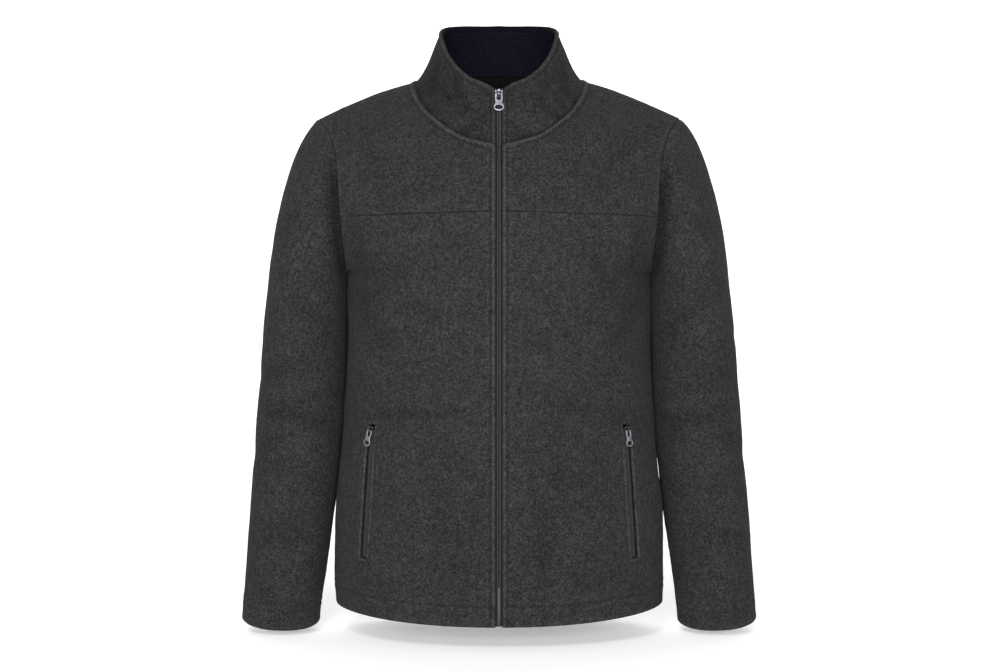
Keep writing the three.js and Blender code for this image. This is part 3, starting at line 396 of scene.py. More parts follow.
def inner_edge(inner):
    z = HEM_FRONT + (NECK_FRONT - HEM_FRONT) * np.minimum(inner, 1)
    front = xyz(ZIP_EDGE, front_depth(z), z)
    turn = np.clip(neck_turn_of(inner), 0, 180)
    neck = neck_seam(np.where(turn < 90, np.maximum(turn, CORNER_TURN), turn))
    z = NECK_BACK + (HEM_BACK - NECK_BACK) * np.maximum(inner - 2, 0)
    back = xyz(0, back_depth(z), z)
    return pick(inner <= 1, front, pick(inner < 2, neck, back))


def outer_edge(outer):
    up = np.where(outer <= 1, outer, 3 - outer)
    z = HEM_SIDE + (ARMHOLE_BOTTOM - HEM_SIDE) * np.minimum(up, 1)
    side = xyz(side_reach(z), ARMHOLE_MIDDLE, z)
    return pick((outer > 1) & (outer < 2), armhole_seam(armhole_turn_of(outer)), side)


def body_form(across, at):
    across, at = np.broadcast_arrays(np.asarray(across, float), np.asarray(at, float))
    s = {name: value(at) for name, value in sections.items()}
    start, end = inner_edge(s["inner"]), outer_edge(s["outer"])
    leave = start + xyz(s["inX"], s["inY"], s["inZ"])
    arrive = end + xyz(s["outX"], s["outY"], s["outZ"])
    return bezier(start, leave, arrive, end, across)


def normal_of(form, a, b, step_a=1e-3, step_b=1e-3):
    along_a = form(a + step_a, b) - form(a - step_a, b)
    along_b = form(a, b + step_b) - form(a, b - step_b)
    return unit(np.cross(along_a, along_b))


def inside(share, low=0.0, high=1.0):
    return np.clip(share, low + 2e-3, high - 2e-3)


def body_normal(across, at):
    return normal_of(body_form, inside(across), inside(at))


def fold_depths(folds, right, up):
    """How deep all the folds of a table are at places that right and up give for one fold."""
    total = 0.0
    for i in range(len(folds["z"])):
        fold = {name: values[i] for name, values in folds.items()}
        x, z = right(fold), up - fold["z"]
        tilt = math.radians(fold["tilt"])
        along = x * math.cos(tilt) + z * math.sin(tilt)
        beside = z * math.cos(tilt) - x * math.sin(tilt)
        soft = np.exp(-((beside / fold["width"]) ** 2) - (along / fold["length"]) ** 4)
        total = total + fold["depth"] * soft
    return total


def creases_at(folds, p):
    """How deep a table's folds are at points of the body or collar."""
    return fold_depths(folds, lambda fold: p[..., 0] - fold["x"], p[..., 2])


def squared(share):
    return np.sign(share) * np.abs(share) ** SQUARE


def sleeve_ring(turn, z):
    a = np.radians(turn)
    half = (ring["outer"](z) - ring["inner"](z)) / 2
    middle = (ring["outer"](z) + ring["inner"](z)) / 2
    y = ring["middle"](z) - ring["depth"](z) * squared(np.sin(a))
    return xyz(middle + half * squared(np.cos(a)), y, z)


def by_height(high, numbers):
    level, slope, bow = numbers
    return level + slope * high + bow * high**2


def sleeve_form(turn, down):
    """down 0-1 is the sleeve's head, from the armhole seam, and 1-2 the tube."""
    turn, down = np.broadcast_arrays(np.asarray(turn, float), np.asarray(down, float))
    a = np.radians(turn)
    high, front = np.cos(a), np.sin(a)
    seam, end = armhole_seam(turn), sleeve_ring(turn, CAP_END)
    leave, arrive = (
        xyz(by_height(high, out), reach * front, by_height(high, up)) for out, reach, up in HEAD
    )
    head = bezier(seam, seam + leave, end + arrive, end, np.minimum(down, 1))
    cuff = CUFF_HEIGHT + CUFF_RISE * high - CUFF_DROP * front
    tube = sleeve_ring(turn, CAP_END + np.maximum(down - 1, 0) * (cuff - CAP_END))
    return pick(down <= 1, head, tube)


def sleeve_normal(turn, down):
    return normal_of(sleeve_form, turn, inside(down, 0, 2), 0.3, 1e-3)


def collar_point(turn, up):
    turn, up = np.broadcast_arrays(np.asarray(turn, float), np.asarray(up, float))
    a = np.radians(turn)
    outward = xyz(np.sin(a), -np.cos(a), 0)
    seam = neck_seam(turn)
    y = RIM_SHIFT - RIM_HALF_DEPTH * np.cos(a)
    rim = xyz(RIM_HALF_WIDTH * np.sin(a), y, rim_height(turn))
    b = {name: value(turn) for name, value in bend.items()}
    low = seam - outward * b["inward"][..., None] + xyz(0, 0, b["rise"])
    high = rim + outward * b["lean"][..., None] - xyz(0, 0, b["drop"])
    return bezier(seam, low, high, rim, up)


def collar_normal(turn, up):
    normal = normal_of(collar_point, np.clip(turn, 1, 179), inside(up), 0.3, 1e-3)
    normal[..., 0] = np.where(np.asarray(turn) >= 180, 0, normal[..., 0])
    return unit(normal)


def collar_turn_at(x, up):
    """The turn round the neck at which the collar reaches a distance from the centre front."""
    x, up = np.broadcast_arrays(np.asarray(x, float), np.asarray(up, float))
    return solve(lambda turn: collar_point(turn, up)[..., 0], x, 0, 60)


def front_line(share, x):
    """Points and normals of the centre front, from the hem (0) up the body (1) and collar (2)."""
    share, x = np.broadcast_arrays(np.asarray(share, float), np.asarray(x, float))
    z = HEM_FRONT + (NECK_FRONT - HEM_FRONT) * np.minimum(share, 1)
    slope = front_depth(z + 1) - front_depth(z - 1)
    up = np.clip(share - 1, 0, 1)
    turn = collar_turn_at(x, up)
    normal = collar_normal(turn, up)
    normal[..., 0] = np.where(x < 1, 0, normal[..., 0])
    on_body = share <= 1
    place = pick(on_body, xyz(x, front_depth(z), z), collar_point(turn, up))
    return place, unit(pick(on_body, xyz(0, -2, -slope), normal))


def front_place(x, z):
    """The body's points and normals at front-view places."""
    x, z = np.broadcast_arrays(np.asarray(x, float), np.asarray(z, float))
    across = np.full(x.shape, 0.5)
    for _ in range(ROUNDS):
        at = solve(lambda t: body_form(across, t)[..., 2], z, 0, AT_FRONT_NECK)
        across = solve(lambda t: body_form(t, at)[..., 0], x, 0, 1)
    p, normal = body_form(across, at), body_normal(across, at)
    return p - normal * creases_at(BODY_FOLDS, p)[..., None], normal


def pocket_line(share, beside=0.0):
    """Points, normals and directions of the pocket's line, from its bottom (0) to its top (1)."""

    def place_at(s):
        x = POCKET_BOTTOM[0] + (POCKET_TOP[0] - POCKET_BOTTOM[0]) * s
        return x, POCKET_BOTTOM[1] + (POCKET_TOP[1] - POCKET_BOTTOM[1]) * s

    share, beside = np.broadcast_arrays(np.asarray(share, float), np.asarray(beside, float))
    x, z = place_at(share)
    middle, normal = front_place(x, z)
    ahead, _ = front_place(*place_at(share + 0.01))
    along = unit(ahead - middle)
    sideways = unit(np.cross(along, normal))
    place, normal = front_place(x - sideways[..., 0] * beside, z - sideways[..., 2] * beside)
    return place, normal, along


# Uneven surfaces
rng = np.random.default_rng(4)
LATTICE_SIZE, STRAND_SIZE = 64, 4096
LATTICE = rng.uniform(-1, 1, (LATTICE_SIZE,) * 3)
STRAND = rng.uniform(-1, 1, STRAND_SIZE)
ABOVE_ZERO = 900, 1000  # cells added so that the tables are never read below their start


def noise(p, size):
    """Soft lumps between -1 and 1, of about a size in millimetres."""
    cell = p / size + ABOVE_ZERO[0]
    low = np.floor(cell).astype(int)
    share = cell - low
    share = share * share * (3 - 2 * share)
    total = 0.0
    for corner in itertools.product((0, 1), repeat=3):
        i = (low + corner) % LATTICE_SIZE
        weight = np.prod(np.where(corner, share, 1 - share), axis=-1)
        total = total + weight * LATTICE[i[..., 0], i[..., 1], i[..., 2]]
    return total


def wander(s, wave, seed):
    """An uneven line between -1 and 1, whose bends are about a wave apart."""
    cell = s / wave + ABOVE_ZERO[1]
    low = np.floor(cell).astype(int)
    share = cell - low
    share = share * share * (3 - 2 * share)
    first = low + seed * 97
    return STRAND[first % STRAND_SIZE] * (1 - share) + STRAND[(first + 1) % STRAND_SIZE] * share


def pucker(s, seed):
    return sum(share * wander(s, wave, seed + more) for share, wave, more in PUCKERS)


def uneven(share, s, seed):
    """A factor near 1 that changes along a seam."""
    return 1 + share * pucker(s, seed)


def bump(x, place, width):
    return np.exp(-(((x - place) / width) ** 2))


def swell(distance, shape):
    height, place, width = shape
    return height * bump(distance, place, width)


def lumps(p):
    """The slight unevenness of filled-out fleece."""
    return sum(height * noise(p, size) for height, size in LUMPS)


def arc(points, axis):
    """Distances along grid lines from their start."""
    step = np.linalg.norm(np.diff(points, axis=axis), axis=-1)
    pad = [(0, 0)] * step.ndim
    pad[axis] = (1, 0)
    return np.pad(np.cumsum(step, axis=axis), pad)


def spread(length, marks, count=None):
    """Places from 0 to a length, closer together near marks: a place, a finest step and a reach."""
    at = np.linspace(0, length, SPREAD_SAMPLES)
    density = np.full(len(at), 1 / STEP)
    for place, finest, reach in marks:
        density += bump(at, place, reach) / finest
    total = np.concatenate([[0], np.cumsum((density[1:] + density[:-1]) / 2 * np.diff(at))])
    if count is None:
        count = math.ceil(total[-1])
    return np.interp(np.linspace(0, total[-1], count + 1), total, at)


def edge_marks(length):
    return [(0, *EDGE_MARK), (length, *EDGE_MARK)]


def roll(distance, width, radius):
    """How far both faces of a cloth edge turn towards its middle."""
    share = 1 - np.clip(distance / width, 0, 1)
    return radius * (1 - np.sqrt(1 - share**2))


def walls(p, direction, relief, thick, edges):
    """Outer and inner points of cloth: edges are pairs of distances and roll widths."""
    drop = np.zeros(thick.shape)
    for distance, width in edges:
        drop = np.maximum(drop, roll(distance, width, thick / 2))
    settled = relief * (1 - np.clip(drop / (thick / 2), 0, 1))
    outer = p + direction * (settled - drop)[..., None]
    return outer, p - direction * (thick - drop)[..., None]


def from_line(p, line):
    """Distances from the nearest of a line's close points."""
    gap = np.full(p.shape[:-1], np.inf)
    for place in line:
        gap = np.minimum(gap, np.linalg.norm(p - place, axis=-1))
    return gap


def share_column(one, other, rows, at_one, at_other):
    """Gives two neighbouring grids one common column in some rows."""
    for key in ("outer", "inner"):
        common = (one[key][rows, at_one] + other[key][rows, at_other]) / 2
        one[key][rows, at_one] = common
        other[key][rows, at_other] = common


def painted_light_of(fine, base=1.0):
    """Painted light: the colour drawn lighter on ridges as a painted highlight and darker in grooves as
    painted shade.
    """
    return base * np.clip(1 + PAINTED_LIGHT_PER_MM * fine, *PAINTED_LIGHT_RANGE)


def shell(grids, closed=False):
    """Points, faces and painted light of closed cloth from grids of outer and inner points."""
    points, faces, nap, start = [], [], [], 0
    for grid in grids:
        outer, inner, flipped = grid["outer"], grid["inner"], grid["flipped"]
        nap += [grid["nap"].ravel(), np.full(inner[..., 0].size, grid["inner_nap"])]
        rows, cols = outer.shape[:2]
        index = start + np.arange(rows * cols).reshape(rows, cols)
        if closed:
            index = np.hstack([index, index[:, :1]])
        corners = [index[:-1, :-1], index[:-1, 1:], index[1:, 1:], index[1:, :-1]]
        quads = np.stack(corners, axis=-1).reshape(-1, 4)
        if flipped:
            quads = quads[:, ::-1]
        faces += [quads, quads[:, ::-1] + rows * cols]
        points += [outer.reshape(-1, 3), inner.reshape(-1, 3)]
        start += 2 * rows * cols
    return np.concatenate(points), np.concatenate(faces), np.concatenate(nap)


def make(name, points, faces, material, slot, nodes=(), body="jacket", weld=True, sharp=None, nap=None):
    """A piece of the object from points in millimetres."""
    mesh = bpy.data.meshes.new(name)
    faces = faces.tolist() if isinstance(faces, np.ndarray) else faces
    mesh.from_pydata((np.asarray(points) * METRES).tolist(), [], faces)
    # A colour factor for each point: painted highlight and painted shade on the cloth
    if nap is not None:
        mesh.attributes.new("nap", "FLOAT", "POINT").data.foreach_set("value", nap.astype(np.float32))
    if weld:
        work = bmesh.new()
        work.from_mesh(mesh)
        bmesh.ops.remove_doubles(work, verts=work.verts, dist=WELD)
        bmesh.ops.dissolve_degenerate(work, edges=work.edges, dist=SPECK)
        work.to_mesh(mesh)
        work.free()
    mesh.polygons.foreach_set("use_smooth", [True] * len(mesh.polygons))
    if sharp:
        mesh.set_sharp_from_angle(angle=math.radians(sharp))
    mesh.materials.append(material)
    piece = bpy.data.objects.new(name, mesh)
    bpy.context.scene.collection.objects.link(piece)
    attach(piece, body)
    if nodes:
        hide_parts(*nodes)
    return piece


def flipped_x(p):
    return p * np.array([-1, 1, 1])


def on_side(grid, side):
    """A grid made for the wearer's left, put on its own side."""
    if side < 0:
        for key in ("outer", "inner", "direction"):
            grid[key] = flipped_x(grid[key])
    return grid


def end_to_end(one, other):
    """One line from two, each of them points and normals."""
    return [np.concatenate([one[k], other[k]]) for k in range(2)]


def backward(line):
    return [values[::-1] for values in line]


def without_first(line):
    return [values[1:] for values in line]


# Stitches and coil loops are joined from many copies of one small shape
def capsule(sides, rings):
    """A rod of length 1 and radius 1 along X: rings are places and radii."""
    turns = np.linspace(0, 2 * math.pi, sides, endpoint=False)
    points = np.concatenate(
        [xyz(np.full(sides, at), radius * np.cos(turns), radius * np.sin(turns)) for at, radius in rings]
    )
    faces = []
    for j in range(len(rings) - 1):
        for i in range(sides):
            a, b = j * sides + i, j * sides + (i + 1) % sides
            faces.append([a, a + sides, b + sides, b])
    faces.append(list(range(sides)))
    last = (len(rings) - 1) * sides
    faces.append(list(range(last + sides - 1, last - 1, -1)))
    return points, faces


THREAD = capsule(5, [(-0.5, 0.45), (-0.3, 1), (0.3, 1), (0.5, 0.45)])
LOOP = capsule(8, [(-0.5, 0.3), (-0.44, 0.8), (-0.3, 1), (0.3, 1), (0.44, 0.8), (0.5, 0.3)])


def copies(shape, places, axes, size):
    """Copies of a shape: axes are its three directions at each place."""
    points, faces = shape
    turned = np.einsum("pk,nkx->npx", points * np.array(size), axes) + places[:, None]
    count = len(points)
    all_faces = [[v + i * count for v in face] for i in range(len(places)) for face in faces]
    return turned.reshape(-1, 3), all_faces


def joined(parts):
    points, faces, start = [], [], 0
    for part_points, part_faces in parts:
        points.append(part_points)
        faces += [[v + start for v in face] for face in part_faces]
        start += len(part_points)
    return np.concatenate(points), faces


def resampled(line, values, pitch):
    """Values along a line of points, at even distances."""
    length = arc(line, 0)
    at = np.arange(pitch / 2, length[-1], pitch)
    return np.stack([np.interp(at, length, values[:, k]) for k in range(3)], axis=-1)


def sewn(line, normals):
    """A row of stitches along points on the cloth."""
    place = resampled(line, line, STITCH_PITCH)
    normal = unit(resampled(line, normals, STITCH_PITCH))
    along = unit(np.gradient(place, axis=0))
    side = unit(np.cross(normal, along))
    axes = np.stack([along, side, np.cross(along, side)], axis=1)
    return copies(THREAD, place + normal * STITCH_LIFT, axes, STITCH_SIZE)


def line_at(grid, key, value):
    """The points and normals of a grid where one of its distances has a value."""
    outer, normal, distance = grid["outer"], grid["normal"], grid[key]
    if key in ("bottom", "top", "rim"):
        outer, normal, distance = (np.swapaxes(a, 0, 1) for a in (outer, normal, distance))
    rising = distance[0, -1] > distance[0, 0]
    picked = []
    for values in (outer, normal):
        rows = []
        for j in range(len(distance)):
            at, row = (distance[j], values[j]) if rising else (distance[j][::-1], values[j][::-1])
            rows.append([np.interp(value, at, row[:, k]) for k in range(3)])
        picked.append(np.array(rows))
    return picked


def toward(normal, seam, distance, reach=10.0):
    """Normals that lean to a seam's shared direction close to it."""
    share = np.clip(1 - distance / reach, 0, 1)[..., None] ** 2
    return unit(normal * (1 - share) + seam * share)


# Materials. The fleece's noise, in waves for each metre, and its relief in metres
TUFTS, CLUMPS, PATCHES, WAVES = 400, 140, 30, 170
FLEECE_HIGH = 0.0016


def srgb(value):
    return ((value / 255 + 0.055) / 1.055) ** 2.4


def grey(red, green, blue):
    return (srgb(red), srgb(green), srgb(blue), 1)


class Nodes:
    """A small helper for building a material's nodes."""

    def __init__(self, name, **shader):
        self.material = bpy.data.materials.new(name)
        self.material.use_nodes = True
        self.tree = self.material.node_tree
        self.shader = self.tree.nodes["Principled BSDF"]
        for key, value in shader.items():
            self.shader.inputs[key.replace("_", " ")].default_value = value
        self.place = self.add("ShaderNodeTexCoord").outputs["Object"]

    def add(self, kind, settings=None, **inputs):
        node = self.tree.nodes.new(kind)
        for key, value in (settings or {}).items():
            setattr(node, key, value)
        for key, value in inputs.items():
            name = key.replace("_", " ")
            if isinstance(value, bpy.types.NodeSocket):
                self.tree.links.new(value, node.inputs[name])
            else:
                node.inputs[name].default_value = value
        return node

    def noise(self, scale, detail=2.0, roughness=0.5, place=None):
        vector = self.place if place is None else place
        node = self.add(
            "ShaderNodeTexNoise", Vector=vector, Scale=scale, Detail=detail, Roughness=roughness
        )
        return node.outputs["Fac"]

    def stretched(self, x, y, z):
        node = self.add("ShaderNodeMapping", Vector=self.place, Scale=(x, y, z))
        return node.outputs["Vector"]

    def ramp(self, value, stops):
        node = self.add("ShaderNodeValToRGB", Fac=value)
        elements = node.color_ramp.elements
        while len(elements) < len(stops):
            elements.new(0.5)
        for element, (at, colour) in zip(elements, stops):
            element.position = at
            element.color = colour
        return node.outputs["Color"]

    def math(self, operation, a, b):
        node = self.tree.nodes.new("ShaderNodeMath")
        node.operation = operation
        for socket, value in zip(node.inputs, (a, b)):
            if isinstance(value, bpy.types.NodeSocket):
                self.tree.links.new(value, socket)
            else:
                socket.default_value = value
        return node.outputs["Value"]

    def multiply(self, a, b, share):
        node = self.add("ShaderNodeMix", {"data_type": "RGBA", "blend_type": "MULTIPLY"})
        node.inputs["Factor"].default_value = share
        self.tree.links.new(a, node.inputs["A"])
        self.tree.links.new(b, node.inputs["B"])
        return node.outputs["Result"]

    def finish(self, colour, height, distance, strength=1.0):
        link = self.tree.links.new
        link(colour, self.shader.inputs["Base Color"])
        node = self.add("ShaderNodeBump", Height=height, Distance=distance, Strength=strength)
        link(node.outputs["Normal"], self.shader.inputs["Normal"])
        return self.material


def plain(value):
    return (value, value, value, 1)


def fleece(name, dark, middle, light, sheen):
    """Brushed marl fleece: short fibres in two shades, in small tufts."""
    nodes = Nodes(
        name, Roughness=0.95, Sheen_Weight=sheen, Sheen_Roughness=0.45, Specular_IOR_Level=0.04
    )
    tufts = nodes.noise(TUFTS, 4.0, 0.66)
    colour = nodes.ramp(tufts, [(0.33, dark), (0.5, middle), (0.68, light)])
    clumps = nodes.ramp(nodes.noise(CLUMPS, 3.0, 0.6), [(0.33, plain(0.62)), (0.66, plain(1))])
    colour = nodes.multiply(colour, clumps, 0.85)
    broad = nodes.ramp(nodes.noise(PATCHES, 2.0), [(0.3, plain(0.84)), (0.7, plain(1))])
    colour = nodes.multiply(colour, broad, 0.8)
    # The colour is scaled by the painted light: painted highlight on ridges, painted shade in grooves,
    # folds, the tuck and inside faces
    nap = nodes.add("ShaderNodeAttribute", {"attribute_name": "nap"}).outputs["Fac"]
    scaled = nodes.add("ShaderNodeVectorMath", {"operation": "SCALE"}, Scale=nap)
    nodes.tree.links.new(colour, scaled.inputs[0])
    height = nodes.math("ADD", tufts, nodes.noise(WAVES, 2.0))
    return nodes.finish(scaled.outputs["Vector"], height, FLEECE_HIGH)


def woven(name, dark, light, ribs):
    """Tape with fine ribs along it and a close weave."""
    nodes = Nodes(name, Roughness=0.9, Specular_IOR_Level=0.1)
    weave = nodes.noise(1500, 2.0, 0.5, nodes.stretched(1, 1, ribs))
    colour = nodes.ramp(weave, [(0.35, dark), (0.65, light)])
    return nodes.finish(colour, weave, 0.0003)


def nylon(name, dark, light):
    nodes = Nodes(name, Roughness=0.6, Specular_IOR_Level=0.2)
    fine = nodes.noise(420, 2.0)
    colour = nodes.ramp(fine, [(0.3, dark), (0.7, light)])
    return nodes.finish(colour, nodes.noise(2600, 1.0), 0.00006)


def satin_metal(name, dark, light):
    """Plated zinc with a satin face, slightly worn."""
    nodes = Nodes(name, Metallic=1.0)
    fine = nodes.noise(900, 3.0, 0.6, nodes.stretched(1, 1, 0.25))
    wear = nodes.noise(240, 3.0)
    colour = nodes.ramp(wear, [(0.3, dark), (0.65, light)])
    rough = nodes.add("ShaderNodeMapRange", Value=wear, To_Min=0.3, To_Max=0.46).outputs["Result"]
    nodes.tree.links.new(rough, nodes.shader.inputs["Roughness"])
    return nodes.finish(colour, fine, 0.00008)


CHARCOAL = fleece("charcoal_fleece", grey(25, 25, 25), grey(42, 42, 43), grey(59, 59, 59), 0.02)
NAVY = fleece("navy_fleece", grey(8, 8, 14), grey(12, 12, 22), grey(18, 18, 31), 0.005)
# The centre zip's tape is drawn darker than the pocket tape: painted shade in the gaps beside its chain
SHADED_TAPE = woven("zip_tape_painted_shade", grey(14, 14, 15), grey(24, 24, 25), 0.3)
COIL = nylon("zip_coil_nylon", grey(32, 32, 34), grey(46, 46, 48))
THREADS = nylon("sewing_thread", grey(30, 30, 31), grey(44, 44, 45))
NAVY_THREADS = nylon("navy_thread", grey(12, 12, 20), grey(22, 22, 34))
METAL = satin_metal("gunmetal_plating", grey(90, 89, 96), grey(122, 121, 130))
POCKET_METAL = satin_metal("pocket_plating", grey(136, 135, 143), grey(172, 171, 181))
# The slider bodies: a near-black copy of the plating, painted shade
SHADED_SLIDER_METAL = satin_metal("slider_plating_painted_shade", grey(24, 23, 26), grey(38, 37, 41))
# The pocket sliders' crowns: a darker copy of the pocket plating, painted shade
SHADED_CROWN_METAL = satin_metal("pocket_crown_painted_shade", grey(56, 55, 60), grey(80, 79, 86))
POCKET_TAPE = woven("pocket_tape_weave", grey(24, 24, 26), grey(38, 38, 40), 0.3)


def cloth(name, grids, material=CHARCOAL, slot="fleece", closed=False):
    """A cloth piece, which stands for the solid of the same name."""
    points, faces, nap = shell(grids, closed)
    return make(name, points, faces, material, slot, [name.replace("panel_", "")], nap=nap)


def with_normals(grid, flipped=False):
    """Adds the outer face's own normals, for what is sewn on it."""
    outer = grid["outer"]
    grid["flipped"] = flipped
    # Inside faces get painted shade unless set otherwise
    grid.setdefault("inner_nap", INNER_PAINTED_SHADE)
    normal = np.cross(np.gradient(outer, axis=1), np.gradient(outer, axis=0))
    size = np.linalg.norm(normal, axis=-1, keepdims=True)
    normal = np.where(size > 1e-9, normal / np.maximum(size, 1e-9), grid["direction"])
    grid["normal"] = -normal if flipped else normal
    return grid


def seam_puff(distance, s, seed, height=0.45, place=2.4, width=1.8):
    """Cloth that dips at a seam and swells beside it, unevenly."""
    puffed = swell(distance, (height, place, width)) * uneven(0.5, s, seed)
    return puffed - SEAM_DIP * bump(distance, 0, SEAM_DIP_WIDTH)


def stitched(distance, place, s, seed, depth=0.6, width=1.15):
    """The groove that a row of stitches pulls into cloth, with a soft swell on both sides."""
    groove = -depth * bump(distance, place, width) * uneven(0.35, s, seed)
    before = bump(distance, place - BEFORE_STITCH[0], BEFORE_STITCH[1])
    behind = bump(distance, place + AFTER_STITCH[0], AFTER_STITCH[1])
    return groove + STITCH_SWELL * (before + behind) * uneven(0.6, s, seed + 5)


def rows_between(start, end, marks, exact=()):
    """Body rows at real distances up the middle of a panel, and at exact places."""
    dense = np.linspace(start, end, ROW_SAMPLES * 3)
    length = arc(body_form(0.5, dense), 0)
    places = [(np.interp(at, dense, length), *mark) for at, mark in exact]
    total = length[-1]
    named = [(place if place >= 0 else total + place, *mark) for place, mark in marks]
    rows = np.interp(spread(total, edge_marks(total) + named + places), length, dense)
    for at, _ in exact:
        rows[np.argmin(np.abs(rows - at))] = at
    return rows


def row_arcs(at):
    """Distances across each body row, and the shares across that they belong to."""
    share = np.linspace(0, 1, ROW_SAMPLES)
    return share, arc(body_form(share[None], at[:, None]), 1)


def across_rows(at, start, end, marks):
    """Distances, shares and whole lengths of rows between two distances, with equal counts."""
    share, arcs = row_arcs(at)
    wide = end - start
    middle = len(at) // 2
    count = len(spread(wide[middle], marks(wide[middle]))) - 1
    distances = np.array([start[j] + spread(wide[j], marks(wide[j]), count) for j in range(len(at))])
    shares = np.array([np.interp(distances[j], arcs[j], share) for j in range(len(at))])
    return distances, shares, arcs[:, -1]


def body_directions(across, at):
    """The directions in which the cloth's thickness lies, shared with what it is sewn to."""
    normal = body_normal(across, at)
    inner, outer = sections["inner"](at), sections["outer"](at)
    level = unit(normal * np.array([1, 0, 1]))
    middle = unit(normal * np.array([0, 1, 1]))
    seam = pick((outer >= 1) & (outer <= 2), armhole_outward(armhole_turn_of(outer)), level)
    neck = neck_outward(np.clip(neck_turn_of(inner), 0, 180))
    return normal, seam, neck, middle


def body_block(at, distances, shares, lengths, side, relief_of, creases):
    """One grid of a body panel, with its distances to the panel's edges."""
    rows = np.repeat(at[:, None], shares.shape[1], axis=1)
    p = body_form(shares, rows)
    normal, seam, neck, middle = body_directions(shares, rows)
    inner = sections["inner"](rows)
    grid = {"left": distances, "right": lengths[:, None] - distances, "at": rows}
    grid["bottom"] = arc(p, 0)
    grid["top"] = grid["bottom"][-1:] - grid["bottom"]
    grid["neck"] = from_line(p, NECK_LINE)
    direction = toward(normal, seam, grid["right"])
    direction = pick((inner > 1) & (inner <= 2), toward(direction, neck, grid["left"]), direction)
    direction = pick(inner > 2, toward(direction, middle, grid["left"]), direction)
    grid["direction"] = direction
    grid["signed"] = p * np.array([side, 1, 1])
    folds = body_fold_fade(shares, rows) * creases_at(BODY_FOLDS, p)
    seams = smooth(np.minimum(grid["right"], grid["left"] + 9 * (inner >= 2)), 0, 12)
    folds = folds + seams * creases_at(creases, grid["signed"])
    grid["p"] = p - normal * folds[..., None]
    soft, fine, thick, edges = relief_of(grid)
    # Painted light on the relief, with painted shade in the folds
    grid["nap"] = painted_light_of(fine - FOLD_PAINTED_SHADE * folds)
    grid["outer"], grid["inner"] = walls(grid["p"], direction, soft + fine, thick, edges)
    return with_normals(on_side(grid, side), side < 0)


def body_fold_fade(across, at):
    """The solids' folds fade out before the seams, and there are none behind the shoulder."""
    top = AT_SHOULDER - at
    fade = smooth(np.minimum(across, 1 - across), 0, 0.07) * smooth(top, 0, 0.03)
    return np.where(top > 0, fade, 0)


def press_at(z):
    """The heights at which sleeve and body press against each other."""
    return np.max([bump(z, place, width) for place, width in PRESS_HEIGHTS], axis=0)


def side_press(grid):
    return PRESS * bump(grid["right"], 0, PRESS_WIDTH) * press_at(grid["p"][..., 2])


def hem_parts(distance, s, seed):
    """Relief and extra thickness of a turned and stitched hem."""
    relief = stitched(distance, HEM, s, seed, 0.75, 1.3)
    relief = relief + swell(distance, HEM_SWELL) * uneven(0.8, s, seed + 3)
    return relief, HEM_EXTRA * (1 - smooth(distance, HEM - 1, HEM + 1.5))


def zip_edge_relief(distance, s, seed):
    """The folded edge beside the zip: a puffed, puckered roll and its stitch line."""
    puffed = swell(distance, ZIP_SWELL) * uneven(0.75, s, seed)
    return puffed + stitched(distance, ZIP_STITCH, s, seed + 2, 0.85)


def pocket_cross(at):
    """Where each body row crosses the pocket's line: the share across and the share along it."""
    share = np.linspace(0, 1, ROW_SAMPLES)
    dense = body_form(share[None], at[:, None])
    tilt = (POCKET_TOP[0] - POCKET_BOTTOM[0]) / (POCKET_TOP[1] - POCKET_BOTTOM[1])
    beyond = dense[..., 0] - POCKET_BOTTOM[0] - (dense[..., 2] - POCKET_BOTTOM[1]) * tilt
    across = np.array([np.interp(0, row, share) for row in beyond])
    height = body_form(across, at)[..., 2]
    return across, (height - POCKET_BOTTOM[1]) / (POCKET_TOP[1] - POCKET_BOTTOM[1])


POCKET_LONG = math.hypot(POCKET_TOP[0] - POCKET_BOTTOM[0], POCKET_TOP[1] - POCKET_BOTTOM[1])


def front_rows():
    """The lower front's rows, with exact ones at the pocket's ends."""
    dense = np.linspace(0, AT_YOKE, ROW_SAMPLES * 3)
    ends = np.interp([0, 1], pocket_cross(dense)[1], dense)
    return rows_between(0, AT_YOKE, [(HEM, LINE_MARK)], [(at, END_MARK) for at in ends])


def slit_in(rows, share, arcs):
    """The pocket's slit in each row: its middle and half width, and how far the row misses it."""
    across, along = pocket_cross(rows)
    inside_slit = np.minimum(along, 1 - along) * POCKET_LONG
    near_end = 1 - np.clip(inside_slit / SLIT_ROUND, 0, 1)
    return {
        "along": along,
        "inside": inside_slit,
        "middle": np.array([np.interp(across[j], share, arcs[j]) for j in range(len(rows))]),
        "half": np.where(inside_slit > SLIT_END, POCKET_HALF * np.sqrt(1 - near_end**2), 0),
        "beyond": np.maximum(-inside_slit - SLIT_END, 0)[:, None],
    }


def front_relief(grid, slit, seed):
    """The lower front's soft form, fine relief, thickness and rolled edges."""
    s = grid["bottom"]
    lateral = np.abs(grid["left"] - slit["middle"][:, None])
    edge = np.where(slit["beyond"] > 0, POCKET_HALF, slit["half"][:, None])
    gap = np.hypot(np.maximum(lateral - edge, 0), slit["beyond"])
    hem, extra = hem_parts(grid["bottom"], grid["left"], seed)
    calm = smooth(np.minimum(grid["left"], gap), *CALM)
    soft = lumps(grid["signed"]) * calm + side_press(grid)
    relief = hem + zip_edge_relief(grid["left"], s, seed + 7)
    relief = relief + seam_puff(grid["right"], s, seed + 9, 0.4)
    relief = relief + seam_puff(grid["top"], grid["left"], seed + 13, 0.55, 2.6, 1.9)
    ridge = POCKET_RIDGE - UNDER_PULL * smooth(slit["along"], *PULL_REACH)[:, None]
    relief = relief + ridge * bump(gap, *POCKET_SWELL) * uneven(0.85, s, seed + 17)
    relief = relief + stitched(gap, POCKET_STITCH, s, seed + 19, 0.8)
    edges = [
        (grid["left"], CLOTH / 2),
        (grid["right"], SEAM_ROLL),
        (grid["bottom"], (CLOTH + HEM_EXTRA) / 2),
        (grid["top"], SEAM_ROLL),
        (gap, CLOTH / 2),
    ]
    return soft, relief, CLOTH + extra, edges


